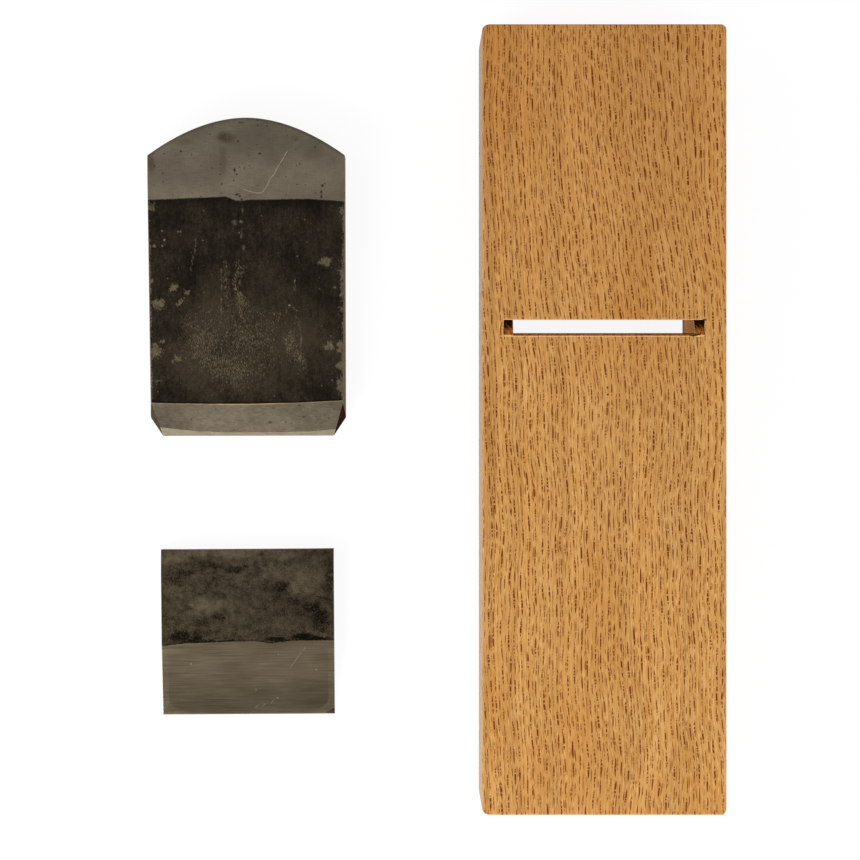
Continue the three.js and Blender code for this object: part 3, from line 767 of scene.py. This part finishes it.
def forge_scale(web, x, y, z, speck):
    """Dark skin of the blade's back, worn to fine slanting flecks of bare iron."""
    coarse = web.noise((x * 0.07, y * 0.05, z), 2, 0.6)
    mottle = web.noise((x * 0.75, y * 0.5, z), 4, 0.65)
    drawn = web.noise((x * 1.3, y * 0.06, z), 3, 0.65)
    level = coarse * 0.42 + mottle * 0.3 + drawn * 0.14 + speck * 0.22
    lower = web.ramp(y, 62, 30) * web.ramp(abs(x + 3), 14, 32, 1, 0)
    level += lower * web.ramp(y, 14, 30, 0.3, 1) * 0.15
    skin = web.mix(web.ramp(level, 0.42, 0.76), *SCALE)

    near = (web.noise((x, y, 2), 3, 0.65, scale=0.45) - 0.5) * 5
    worn = worn_places(web, x, y, near, coarse)
    fleck = web.noise((x * 2.6 + y * 1.1, y * 0.85 - x * 0.4, 0), 2, 0.6)
    lost = worn * 0.17 + web.max(worn - 0.75, 0) * 0.16
    bare = web.ramp(lost + fleck, 0.62, 0.74)
    bare *= web.ramp(worn, 0.02, 0.35) * web.ramp(mottle, 0.3, 0.6, 0.45, 1)
    shown = bare * web.ramp(worn, 0.5, 1, 0.74, 1)
    stray = web.ramp(speck, 0.63, 0.73) * web.ramp(coarse, 0.42, 0.56, 0.1, 0.6)
    chips = web.dots(x, y, 4.2, 0.3, 0.34, 3)
    streaks = web.segments(x + near * 0.4, y, BLADE_STREAKS, 0.02, 0.5)
    streaks *= web.ramp(mottle, 0.42, 0.58, 0.1, 1)
    marks = web.most([streaks * 0.55, web.spots(x, y, BLADE_SMUDGES), chips * 0.7])
    marks *= web.ramp(fleck, 0.42, 0.58, 0.1, 1)
    skin = web.coat(skin, (shown, SCALE_BARE), (stray, SCALE_STRAY), (marks * 0.8, SCALE_MARK))
    return skin, mottle, bare


def heel_line(x):
    """Distance from the edge at which the bevel meets the upper face: it bows forward in the middle."""
    across = x * (2 / BLADE_HEEL_WIDTH)
    return across * across * 0.82 + across * 0.32 + 11.6


def ground_band(web, x, y, speck, ground):
    """Bright band ground across the head, duller at its rim, with stains."""
    crossed = web.noise((x * 3, y * 0.2, 0), 3, 0.6)
    haze = web.noise((x * 0.07, y * 0.09, 7), 2)
    grain = web.noise((x * 3.4, y * 3.4, 2), 2, 0.7)
    bright = web.mix(web.ramp(haze, 0.3, 0.7), *BAND)
    bright = web.shade(bright, (y, 85, 112, 1.17, 0.9), (grain, 0.3, 0.7, 0.86, 1.14))
    bright = web.shade(bright, (head_rim(x, y), -1.6, -0.2, 1, 0.72))
    bright = web.shade(bright, (ground * 0.6 + crossed * 0.4, 0.3, 0.7, 0.88, 1.1))
    weave = web.ramp(ground * 0.5 + crossed * 0.5, 0.36, 0.58, 0.3, 1)
    stains = web.spots(x + (haze - 0.5) * 3, y, BLADE_STAINS)
    specked = web.ramp(speck, 0.66, 0.76, 0, 0.4)
    return web.coat(bright, (stains * weave * 0.6, BAND_STAIN), (specked, BAND_SPECK))


def forged_back():
    """Blade's upper face: dark forge scale, ground bright across the head, with a dark line at the heel."""
    web = Web("forged_blade_back")
    x, y, z = web.place()
    speck = web.noise((x * 2.2, y * 1.9, z), 2, 0.7)
    skin, mottle, bare = forge_scale(web, x, y, z, speck)

    jag = web.noise((x * 1.1, y * 1.1, 0), 2)
    past = y - (web.border(x, (jag - 0.5) * 0.5, BLADE_BAND_SLOPES) + BLADE_BAND_START)
    band = web.ramp(past, -0.25, 0.35)
    ground = web.noise((x * 0.3, y * 2.6, 0), 3, 0.6)
    under_border = web.ramp(past, -4, -0.4) * (1 - band)
    scratch = web.segments(x + (jag - 0.5) * 0.5, y, BLADE_SCRATCH, 0.02, 0.18)
    scratch *= web.ramp(speck, 0.4, 0.55, 0.6, 1)
    pits = web.spots(x, y, BLADE_PITS) * web.ramp(speck, 0.36, 0.5, 0.5, 1)
    pits = web.max(pits, band * web.dots(x, y, 3.4, 0.35, 0.26, 8))
    behind = web.ramp(y - heel_line(x), 0.15, 0.75, 0.85, 0)
    colour = web.coat(
        skin, (band, ground_band(web, x, y, speck, ground)), (under_border * 0.6, BAND_SHADE),
        (scratch * 0.7, BAND_SCRATCH), (pits * 0.85, BAND_PIT), (behind, HEEL_LINE),
    )

    rough = web.ramp(mottle, 0.3, 0.7, 0.5, 0.64) - bare * 0.12
    roughness = web.blend(band, rough, web.ramp(ground, 0.3, 0.7, 0.46, 0.54))
    worn_away = pits + scratch + bare * 0.4
    relief = (1 - band) * (mottle * 0.7 + 0.25) + band * ground * 0.05 - worn_away * 0.4
    return web.finish(colour, 0.92, roughness, relief, 0.08, 0.6)


# Pits in the ground bevel
BEVEL_PITS = (
    (-20.4, 6, 0.5, 0.5, 1), (-22.2, 2.9, 0.5, 0.5, 1), (18.8, 11, 0.5, 0.5, 1),
    (9.4, 9.9, 0.5, 0.4, 0.9), (8, 4.9, 1, 0.6, 1), (13.7, 4.9, 0.5, 0.5, 1),
    (20.2, 6.8, 0.9, 0.5, 0.9), (29.2, 6.3, 0.7, 0.5, 0.8),
)


def honed_bevel():
    """Blade's bevel in soft iron: fine slanting strokes, darker towards both ends, with a painted highlight
    along the heel.
    """
    web = Web("honed_soft_iron")
    x, y, z = web.place()
    along = x + y * 0.35
    strokes = web.noise((along * 0.45, y * 2.6, 0), 4, 0.65)
    haze = web.noise((x * 0.08, y * 0.14, 3), 2)
    speck = web.noise((x * 1.8, y * 2, z), 3, 0.7)
    colour = web.mix(web.ramp(haze, 0.3, 0.7), *BEVEL)
    colour = web.shade(colour, (strokes, 0.25, 0.75, 0.84, 1.14))
    colour = web.shade(colour, (x, -32, -10, 0.62, 1.02), (x, 12, 32, 1, 0.88))
    pits = web.max(web.spots(x, y, BEVEL_PITS), web.dots(x, y, 3, 0.35, 0.24, 5))
    grain = web.noise((x * 3.4, y * 3.4, 4), 2, 0.7)
    dull = web.noise((x * 0.3, y * 0.5, 8), 3, 0.6)
    colour = web.shade(colour, (grain, 0.3, 0.7, 0.9, 1.1), (dull, 0.35, 0.65, 0.9, 1.08))
    specked = web.ramp(speck, 0.66, 0.76, 0, 0.4)
    # Painted highlight: a warm bright strip along the heel of the bevel
    heel_highlight = web.ramp(abs(x), 8, 16, 1, 0.3) * web.ramp(heel_line(x) - y, 0.2, 0.55, 1, 0)
    colour = web.coat(colour, (pits * 0.7, BEVEL_PIT), (specked, BEVEL_SPECK), (heel_highlight * 0.8, BEVEL_HEEL_HIGHLIGHT))
    roughness = web.ramp(strokes, 0.25, 0.75, 0.28, 0.38)
    return web.finish(colour, 1, roughness, strokes * 0.5 - pits, 0.012, 0.5)


def ground_metal(name, low, high, streak, rough, pits):
    """Metal ground on a flat stone: fine streaks, a slight haze and small dark pits."""
    web = Web(name)
    x, y, z = web.place()
    streaks = web.noise((x * streak[0], y * streak[1], z), 4, 0.65)
    haze = web.noise((x * 0.08, y * 0.12, 3), 2)
    speck = web.noise((x * 1.6, y * 2, z), 3, 0.7)
    colour = web.mix(web.ramp(haze, 0.3, 0.7), low, high)
    colour = web.shade(colour, (streaks, 0.25, 0.75, 0.9, 1.09))
    dark = web.ramp(speck, 0.66, 0.75)
    colour = web.mix(dark * pits, colour, GROUND_PIT)
    roughness = web.ramp(streaks, 0.25, 0.75, *rough)
    return web.finish(colour, 1, roughness, streaks * 0.5 - dark, 0.012, 0.5)


def rusty_side(name, dark, light, metallic, shine):
    """Forged side: dark scale drawn out along the side, filed lighter in places, with a little rust."""
    web = Web(name)
    x, y, z = web.place()
    coarse = web.noise((x * 0.1, y * 0.1, z * 0.35), 4, 0.65)
    drawn = web.noise((x * 0.3, y * 0.3, z * 2.4), 4, 0.7)
    speck = web.noise((x * 2.5, y * 2, z * 2.5), 3, 0.7)
    level = coarse * 0.5 + drawn * 0.5
    colour = web.mix(web.ramp(level, 0.38, 0.62), dark, light)
    rust = web.ramp(speck, 0.56, 0.68) * web.ramp(coarse, 0.42, 0.58, 0.6, 0.1)
    colour = web.mix(rust, colour, RUST)
    roughness = web.ramp(coarse, 0.3, 0.7, 0.5, 0.7)
    return web.finish(colour, metallic, roughness, coarse + speck * 0.5, 0.08, 0.7, shine)


# Colours of the chipbreaker's upper face
CHIP_SKIN = ((20, 16, 10), (111, 99, 79))
CHIP_TAN = (104, 88, 62)
CHIP_BRIGHT = ((116, 103, 82), (130, 117, 96))
CHIP_SCUFF = (70, 60, 44)
CHIP_LINE = (14, 11, 8)
CHIP_MARK = (200, 186, 158)
CHIP_DARK_CREASE = (20, 16, 12)

# Chipbreaker's ground front: border behind it, and where the border or the skin behind it is marked
CHIP_BORDER = 25.3
CHIP_BORDER_SLOPES = (
    (-30, -22, 0.85), (-20, -4, 0.6), (3, 7, -0.75),
    (9, 16, 0.85), (16, 30, 0.2),
)
CHIP_BLACKS = (
    (22.5, 28, 9, 2, 1.6), (11, 27, 6, 1.1, 1.3), (-24.5, 28.4, 6, 2.8, 1),
    (-14, 26.6, 16, 1.1, 0.9), (26.3, 34, 5, 5, 0.8), (23.3, 38.6, 4.6, 2.8, 0.9),
    (16.4, 40.6, 3, 2, 0.5), (11.7, 46, 3.6, 3.2, 0.6), (-4.7, 53.5, 7, 2.6, 0.7),
    (-25.4, 51.5, 7, 4.5, 0.7), (-16, 54.5, 12, 2.4, 0.5), (-10.3, 36, 4, 2.4, 0.7),
    (-16.5, 33.5, 4, 2.2, 0.5), (29.6, 50, 1.6, 9, 0.5),
)
CHIP_LIGHTS = (
    (-15.5, 39.4, 8, 4.2, 1), (-9.5, 40.6, 5, 2.2, 0.7), (9, 50.5, 6, 6, 0.6),
    (21, 50, 10, 7, 0.6), (-5, 59.2, 30, 2.2, 1), (-27, 57.4, 6, 2.6, 0.9),
    (12, 57.6, 10, 2.4, 0.7),
)
CHIP_SCRATCHES = (
    (20.6, 24.3, 17.4, 20.2), (17.4, 20.2, 15.3, 17.2), (8.9, 5.2, 8.1, 3.9),
    (5.8, 3.8, 5, 3), (3.2, 3.2, 2.4, 2.3),
)
CHIP_CREASE = ((24.8, 42.9, 30.6, 41.4),)
CHIP_NICKS = (
    (10.4, 6, 0.4, 0.4, 1), (2.7, 9, 0.35, 0.35, 0.6), (24.6, 16.2, 0.4, 0.4, 1),
    (11, 22, 0.4, 0.35, 0.6), (-20.6, 18.6, 0.4, 0.4, 0.8),
)


def chip_skin(web, x, y, z, speck):
    """Blotched forge skin, black where the grinding stops and worn lighter in places."""
    coarse = web.noise((x * 0.1, y * 0.12, z), 2, 0.55)
    mottle = web.noise((x * 0.42, y * 0.42, z), 5, 0.68)
    grit = web.noise((x * 2.6, y * 2.6, z), 2, 0.65)
    warp_x = x + (mottle - 0.5) * 7
    warp_y = y + (coarse - 0.5) * 6
    level = coarse * 0.24 + mottle * 0.38 + grit * 0.4
    level += web.spots(warp_x, warp_y, CHIP_LIGHTS) * 0.16
    black = web.min(web.spots(warp_x, warp_y, CHIP_BLACKS), 1.4)
    ragged = web.noise((x * 1.1, y * 1.6, 6), 3, 0.7)
    black *= web.ramp(ragged, 0.36, 0.56, 0.35, 1.1)
    level -= black * 0.2
    skin = web.mix(web.ramp(level, 0.3, 0.84), *CHIP_SKIN)
    tan = web.ramp(speck, 0.55, 0.66) * web.ramp(y, 42, 30, 0.2, 0.85)
    skin = web.mix(tan * web.ramp(black, 0.2, 1, 1, 0), skin, CHIP_TAN)
    return skin, mottle


def chip_polish(web, x, y, low):
    """Horizontal brushing in front of the border, darker towards the edge."""
    brushed = web.noise((x * 0.06, y * 3.6, 0), 4, 0.75)
    haze = web.noise((x * 0.05, y * 0.16, 9), 2)
    bright = web.mix(web.ramp(haze, 0.3, 0.7), *CHIP_BRIGHT)
    return web.shade(bright, (brushed, 0.28, 0.72, 0.74, 1.24), (y, 3, 20, low, 1.08)), brushed


def ground_chip_steel():
    """Strip of hard steel along the chipbreaker's edge, brushed with the iron behind it."""
    web = Web("chipbreaker_hard_steel")
    x, y, z = web.place()
    colour, brushed = chip_polish(web, x, y, 0.82)
    corner = web.ramp(abs(x), 20, 27) * web.ramp(y, 3, 12, 0.26, 0.1)
    colour = web.tint(colour, corner + 1)
    scuff = web.noise((x * 1.1, y * 0.8, z), 3, 0.65)
    colour = web.mix(web.ramp(scuff, 0.62, 0.74, 0, 0.5), colour, CHIP_SCUFF)
    return web.finish(colour, 0.95, web.ramp(brushed, 0.25, 0.75, 0.3, 0.4), brushed, 0.01, 0.5)


def forged_chip():
    """Chipbreaker's upper face: forge skin behind, brushed bright in front."""
    web = Web("forged_chipbreaker_top")
    x, y, z = web.place()
    speck = web.noise((x * 2, y * 2, z), 2, 0.7)
    colour, mottle = chip_skin(web, x, y, z, speck)

    jag = web.noise((x * 1.2, y * 1.2, 1), 2)
    past = web.border(x, (jag - 0.5) * 0.6, CHIP_BORDER_SLOPES) + CHIP_BORDER - y
    front = web.ramp(past, -0.15, 0.25)
    line = web.ramp(past, -0.9, -0.1) * web.ramp(mottle, 0.42, 0.56, 0.3, 1)
    bright, brushed = chip_polish(web, x, y, 0.7)
    colour = web.coat(colour, (line * 0.85, CHIP_LINE), (front, bright))

    scratches = web.segments(x, y, CHIP_SCRATCHES, 0.04, 0.2) * web.ramp(speck, 0.38, 0.54, 0.2, 0.6)
    marks = web.max(scratches, web.spots(x, y, CHIP_NICKS) * 0.8)
    crease = web.segments(x, y, CHIP_CREASE, 0.05, 0.3)
    colour = web.coat(colour, (marks * 0.75, CHIP_MARK), (crease * 0.8, CHIP_DARK_CREASE))

    rough = web.ramp(mottle, 0.3, 0.7, 0.44, 0.6)
    roughness = web.blend(front, rough, web.ramp(brushed, 0.25, 0.75, 0.3, 0.4))
    relief = (1 - front) * (mottle * 1.2 + speck * 0.2) + front * brushed * 0.08
    return web.finish(colour, 0.95, roughness, relief, 0.08, 0.6)


# Blade

def blade_outline():
    """Parallel sides and a round head, a little more pointed than a circle."""
    half = BLADE_WIDTH / 2
    head = []
    for share in steps(1, -1, 60):
        head.append((half * share, BLADE_LENGTH - BLADE_HEAD_RISE * abs(share) ** BLADE_HEAD_POWER))
    return [(-half, 0), (half, 0)] + head


def blade_back(x, y):
    """Height of the upper face: tapered, a little hollow across, with the ripple of forging."""
    rise = (BLADE_HEAD_THICKNESS - BLADE_HEEL_THICKNESS) / (BLADE_LENGTH - BLADE_BEVEL)
    level = BLADE_HEEL_THICKNESS + (y - BLADE_BEVEL) * rise
    across = x / (BLADE_WIDTH / 2)
    toward_heel = 1 - (y - BLADE_BEVEL) / (BLADE_LENGTH - BLADE_BEVEL)
    flank = BLADE_BACK_SAG * (across * across - 0.3) + BLADE_BACK_TILT * across
    return level + flank * toward_heel + ripple(0.05, x * 0.11, y * 0.09, 1.7)


def blade_weld(x, y):
    """Height of the weld between iron and steel, which bows down in the middle."""
    middle, reach, low, left, right = BLADE_WELD
    across = min(abs(x - middle) / reach, 1)
    side = left if x < 0 else right
    return low + (side - low) * across ** 3 + ripple(0.07, x * 0.25, 3, 0)


def make_blade():
    half = BLADE_WIDTH / 2
    inside = (0, 60, 0)
    clip_x, clip_y = BLADE_EAR_CLIP
    whole = prism("blade_iron_body", blade_outline(), -3, 14)
    cut_sheet(whole, steps(-44, 44, 22), steps(-8, 122, 32), blade_back, 30)
    cut_plane(whole, (0, 0, 0), (0, -BLADE_HEEL_THICKNESS, BLADE_BEVEL))
    for side in (-1, 1):
        top = (side * BLADE_HEEL_WIDTH / 2, BLADE_BEVEL, BLADE_HEEL_THICKNESS)
        corner = (side * half, 0, 0)
        head = (side * half, BLADE_LENGTH - BLADE_HEAD_RISE, BLADE_HEAD_THICKNESS)
        cut_plane(whole, corner, plane_normal(corner, top, head, inside), SIDE_REACH)
        edge = (side * (half - clip_x), 0, 0)
        low = (side * half, clip_y, 0)
        cut_plane(whole, edge, plane_normal(top, edge, low, inside), SIDE_REACH)
    cut_plane(whole, (0, 0, 0), (0, 0, -1), BASE_REACH)

    hollow = partial(hollow_height, BLADE_HOLLOW)
    cut_sheet(whole, steps(-34, 34, 68), steps(-2, 62, 64), hollow, HOLLOW_FAR)

    def wanted(a, b, middle):
        upper = max(a.z, b.z) > 0.9
        sides = min(abs(a.z), abs(b.z)) < 0.3
        if upper and sides and middle.z > 2:
            return 1
        tilted = min(a.y, b.y) < -0.3 and max(a.z, b.z) > 0.98 and min(a.z, b.z) > 0.8
        return 0.35 if tilted and middle.z > 4 else 0
    soften_edges(whole, BLADE_ARRIS, wanted)

    xs, ys = steps(-44, 44, 44), steps(-6, BLADE_STEEL_LENGTH, 14)
    return whole, part_layers(whole, "blade_steel_layer", xs, ys, blade_weld)


def dress_blade(iron, steel):
    scale, bevel = forged_back(), honed_bevel()
    side = rusty_side("rusty_forged_side", *BLADE_SIDE)
    flat = ground_metal("lapped_soft_iron", *LAPPED_IRON)
    edge = ground_metal("honed_hard_steel", *HONED_STEEL)
    hollow = ground_metal("scraped_blade_hollow", *SCRAPED)
    # The two ear facets take lit and shaded copies of one material, painted light and shade
    lit_left_ear = rusty_side("lit_left_ear_facet", *LIT_LEFT_EAR)
    shaded_right_ear = rusty_side("shaded_rusty_right_ear_facet", *SHADED_RIGHT_EAR)

    def on_ear(normal, middle):
        return abs(normal.x) > 0.3 and normal.z > 0.25 and middle.y < BLADE_BEVEL

    def iron_face(normal, middle):
        if on_ear(normal, middle):
            return lit_left_ear if normal.x < 0 else shaded_right_ear
        if normal.z < -0.5:
            return flat
        if normal.y < -0.12 and normal.z > 0.7:
            return bevel
        return scale if normal.z > 0.3 else side

    def steel_face(normal, middle):
        if on_ear(normal, middle):
            return lit_left_ear if normal.x < 0 else shaded_right_ear
        if normal.z < -0.5 and middle.z > HOLLOW_MARGIN:
            return hollow
        return side if abs(normal.z) < 0.2 else edge

    dress(iron, (scale, bevel, side, flat, lit_left_ear, shaded_right_ear), iron_face)
    dress(steel, (edge, side, lit_left_ear, shaded_right_ear, hollow), steel_face)


# Chipbreaker

def chip_slope(y):
    """Height of the ground front at a distance from the edge."""
    run = (y - CHIP_EDGE_RUN) / (CHIP_BEVEL - CHIP_EDGE_RUN)
    return CHIP_EDGE_TOP + run * (CHIP_BEVEL_TOP - CHIP_EDGE_TOP)


def chip_weld(x, y):
    """Height of the weld: level along the edge, then up in a round corner to a strip at each side."""
    past = abs(x) - (CHIP_WIDTH / 2 - CHIP_STRIP - CHIP_CORNER_ROUND)
    if past > CHIP_CORNER_ROUND:
        return CHIP_BEVEL_TOP + 0.4
    line = CHIP_STRIP + CHIP_CORNER_ROUND
    line -= math.sqrt(max(CHIP_CORNER_ROUND ** 2 - max(past, 0) ** 2, 0))
    return chip_slope(line) + ripple(0.02, x * 0.3, 8, 0)


def chip_back(x, y):
    tilt = (CHIP_HEAD_TOP - CHIP_BEVEL_TOP) / (CHIP_LENGTH - CHIP_BEVEL)
    return CHIP_BEVEL_TOP + (y - CHIP_BEVEL) * tilt + ripple(0.05, x * 0.15, y * 0.15, 5.3)


def bend_ears(piece):
    """Turns the two corners at the head downwards about their diagonal fold lines."""
    shape = bmesh.new()
    shape.from_mesh(piece.data)
    leg = CHIP_EAR_LEG / math.sqrt(2)
    for side in (-1, 1):
        out = Vector((side, 1, 0)).normalized()
        start = Vector((side * CHIP_WIDTH / 2, CHIP_LENGTH - CHIP_EAR_LEG, 0)) * MM
        for offset in (0, CHIP_FOLD / 2, CHIP_FOLD):
            geometry = shape.verts[:] + shape.edges[:] + shape.faces[:]
            point = start + out * offset * MM
            bmesh.ops.bisect_plane(shape, geom=geometry, plane_co=point, plane_no=out)
        for vertex in shape.verts:
            past = (vertex.co - start).dot(out) / MM
            if past > 0:
                soft = past * past / (2 * CHIP_FOLD) if past < CHIP_FOLD else past - CHIP_FOLD / 2
                vertex.co.z -= soft / (leg - CHIP_FOLD / 2) * (CHIP_EAR_DROP - CHIP_EAR_REST) * MM
    shape.to_mesh(piece.data)
    shape.free()


def make_chip():
    half = CHIP_WIDTH / 2
    outline = [(-half, 0), (half, 0), (half, CHIP_LENGTH), (-half, CHIP_LENGTH)]
    whole = prism("chipbreaker_iron_body", outline, -2, 9)
    cut_sheet(whole, steps(-40, 40, 20), steps(-6, 68, 20), chip_back, 20)
    front = (0, CHIP_EDGE_TOP - CHIP_BEVEL_TOP, CHIP_BEVEL - CHIP_EDGE_RUN)
    cut_plane(whole, (0, CHIP_BEVEL, CHIP_BEVEL_TOP), front)
    cut_plane(whole, (0, 0, 0), (0, -CHIP_EDGE_TOP, CHIP_EDGE_RUN))
    worn = [(half - inward, y, z) for inward, y, z in CHIP_WORN_CORNER]
    corner = (half, 0, 0)
    cut_plane(whole, corner, plane_normal(*worn, corner, (0, 30, 0)))
    cut_plane(whole, (0, 0, 0), (0, CHIP_EAR_DROP, -CHIP_LENGTH), BASE_REACH)

    def hollow(x, y):
        return y * CHIP_EAR_DROP / CHIP_LENGTH + hollow_height(CHIP_HOLLOW, x, y)
    cut_sheet(whole, steps(-31, 31, 62), steps(-1, 22, 40), hollow, HOLLOW_FAR)

    def wanted(a, b, middle):
        upper = max(a.z, b.z) > 0.9
        sides = min(abs(a.z), abs(b.z)) < 0.3
        return 1 if upper and sides and middle.z > 1.2 else 0
    soften_edges(whole, CHIP_ARRIS, wanted)
    bend = half - CHIP_STRIP
    turn = steps(bend - CHIP_CORNER_ROUND, bend, 24) + [bend + 0.05]
    xs = [-40] + [-x for x in reversed(turn)] + steps(-24, 24, 12) + turn + [40]
    steel = part_layers(whole, "chipbreaker_steel_layer", xs, steps(-6, CHIP_STEEL_LENGTH, 6), chip_weld)
    bend_ears(whole)
    return whole, steel


def dress_chip(iron, steel):
    top, side = forged_chip(), rusty_side("rusty_chipbreaker_side", *CHIP_SIDE)
    # The worn corner facet takes a material darkened as painted shade
    worn = rusty_side("shaded_worn_chipbreaker_corner", *CHIP_WORN_SHADED)
    flat = ground_metal("chipbreaker_flat", *CHIP_FLAT)
    edge = ground_chip_steel()
    hollow = ground_metal("scraped_chipbreaker_hollow", *SCRAPED)

    def iron_face(normal, middle):
        if abs(normal.z) > 0.5:
            return top if normal.z > 0 else flat
        return side

    def steel_face(normal, middle):
        if normal.z < -0.5:
            flat_level = middle.y * CHIP_EAR_DROP / CHIP_LENGTH
            return hollow if middle.z > flat_level + HOLLOW_MARGIN else flat
        if normal.x > 0.05 and normal.y < -0.15:
            return worn
        return side if abs(normal.z) < 0.2 else edge

    dress(iron, (top, flat, side), iron_face)
    dress(steel, (edge, flat, side, worn, hollow), steel_face)


def lay_down(pieces, place, turn, body):
    matrix = Matrix.Translation(place) @ Matrix.Rotation(turn, 4, "Z")
    for piece in pieces:
        piece.matrix_world = matrix
        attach(piece, body)


# Pin and block keep their CAD solids

# Drawn steel, bright and rusted
ROD = ((176, 172, 164), (104, 78, 56))

def drawn_rod():
    web = Web("drawn_steel_rod")
    x, y, z = web.place()
    lines = web.noise((x * 0.05, y * 4, z * 4), 3)
    rust = web.noise((x * 0.5, y * 0.5, z * 0.5), 4, 0.7)
    colour = web.mix(web.ramp(rust, 0.52, 0.7), *ROD)
    return web.finish(colour, 1, web.ramp(lines, 0.3, 0.7, 0.3, 0.45), lines, 0.01, 0.5)


def dress_frame_node(node, material, width=None):
    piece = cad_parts[node]
    for slot in piece.material_slots:
        slot.material = material
    if width:
        add_arris(piece, width, "ANGLE")


# Stage

# White table: half its side in metres, its paper for other rays, and what the camera and shiny metal see
TABLE_HALF = 3
TABLE_DROP = 0.05 * MM
TABLE_PAPER = (0.8, 0.8, 0.8, 1)
TABLE_SHADOW = (0.13, 0.13, 0.13, 1)
TABLE_GLOW = 0.9


def make_floor():
    web = Web("white_table")
    web.tree.nodes.clear()
    paper = web.term("ShaderNodeBsdfDiffuse", {"Color": TABLE_PAPER})
    shadow = web.term("ShaderNodeBsdfDiffuse", {"Color": TABLE_SHADOW})
    glow = web.term("ShaderNodeEmission", {"Strength": TABLE_GLOW})
    seen = web.term("ShaderNodeAddShader", (shadow, glow))
    by_camera = web.term("ShaderNodeLightPath", output="Is Camera Ray")
    by_metal = web.term("ShaderNodeLightPath", output="Is Glossy Ray")
    surface = web.term("ShaderNodeMixShader", (web.max(by_camera, by_metal), paper, seen))
    web.node("ShaderNodeOutputMaterial", {"Surface": surface})
    signs = ((-1, -1), (1, -1), (1, 1), (-1, 1))
    mesh = bpy.data.meshes.new("floor")
    mesh.from_pydata([(x * TABLE_HALF, y * TABLE_HALF, 0) for x, y in signs], [], [(0, 1, 2, 3)])
    mesh.materials.append(web.owner)
    floor = place_object("floor", mesh)
    floor.location.z = -TABLE_DROP


# Brightness of the studio by height over the horizon: pale walls, dim ceiling
STUDIO_LEVELS = ((0, 1.2), (0.36, 1.2), (0.55, 0.78), (0.75, 0.5), (1, 0.4))


def make_studio():
    web = Web("studio", bpy.data.worlds)
    web.tree.nodes.clear()
    height = web.split(web.term("ShaderNodeTexCoord", output="Generated"))[2]
    peak = max(level for _, level in STUDIO_LEVELS)
    ramp = web.node("ShaderNodeValToRGB", (height,))
    ramp.color_ramp.interpolation = "EASE"
    while len(ramp.color_ramp.elements) < len(STUDIO_LEVELS):
        ramp.color_ramp.elements.new(0.5)
    for element, (place, level) in zip(ramp.color_ramp.elements, STUDIO_LEVELS):
        element.position = place
        element.color = (level / peak, level / peak, level / peak, 1)
    walls = web.term("ShaderNodeBackground", {"Color": Term(web, ramp.outputs[0]), "Strength": peak})
    backdrop = web.term("ShaderNodeBackground", {"Color": (1, 1, 1, 1), "Strength": 1})
    by_camera = web.term("ShaderNodeLightPath", output="Is Camera Ray")
    surface = web.term("ShaderNodeMixShader", (by_camera, walls, backdrop))
    web.node("ShaderNodeOutputWorld", {"Surface": surface})
    bpy.context.scene.world = web.owner


# Lamps: name, place, what they point at, size in metres, power in watts, and whether the camera sees them
LAMPS = (
    ("left_softbox", (-0.52, -0.44, 0.3), (0, 0, 0), 0.35, 4, True),
    ("right_softbox", (0.56, -0.5, 0.3), (0.04, 0, 0), 0.35, 2.4, True),
    ("throat_glow", (0.0597, 0.05, 0.001), (0.0597, 0.05, 0.1), 0.05, 0.008, False),
)


def add_lamp(name, place, aim, size, power, seen):
    lamp = bpy.data.lights.new(name, "AREA")
    lamp.shape = "SQUARE"
    lamp.size = size
    lamp.energy = power
    box = place_object(name, lamp)
    box.visible_camera = seen
    box.location = place
    box.rotation_euler = (Vector(aim) - Vector(place)).to_track_quat("-Z", "Y").to_euler()


def make_camera():
    data = bpy.data.cameras.new("camera")
    data.lens = VIEW_LENS
    data.sensor_width = VIEW_SENSOR
    data.clip_start = VIEW_NEAR
    camera = place_object("camera", data)
    camera.location = (*VIEW_CENTRE, VIEW_HEIGHT)
    bpy.context.scene.camera = camera


make_camera()
make_floor()
make_studio()
for lamp in LAMPS:
    add_lamp(*lamp)
bpy.context.scene.view_settings.view_transform = "Standard"

dress_frame_node("dai_body", oak(), DAI_ARRIS)
dress_frame_node("retaining_pin", drawn_rod())

blade_iron, blade_steel = make_blade()
dress_blade(blade_iron, blade_steel)
lay_down((blade_iron, blade_steel), BLADE_PLACE, BLADE_TURN, "blade")
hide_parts("blade_iron")
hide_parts("blade_steel")

chip_iron, chip_steel = make_chip()
dress_chip(chip_iron, chip_steel)
lay_down((chip_iron, chip_steel), CHIP_PLACE, CHIP_TURN, "chipbreaker")
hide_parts("chipbreaker_iron")
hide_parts("chipbreaker_steel")

bpy.context.view_layer.update()
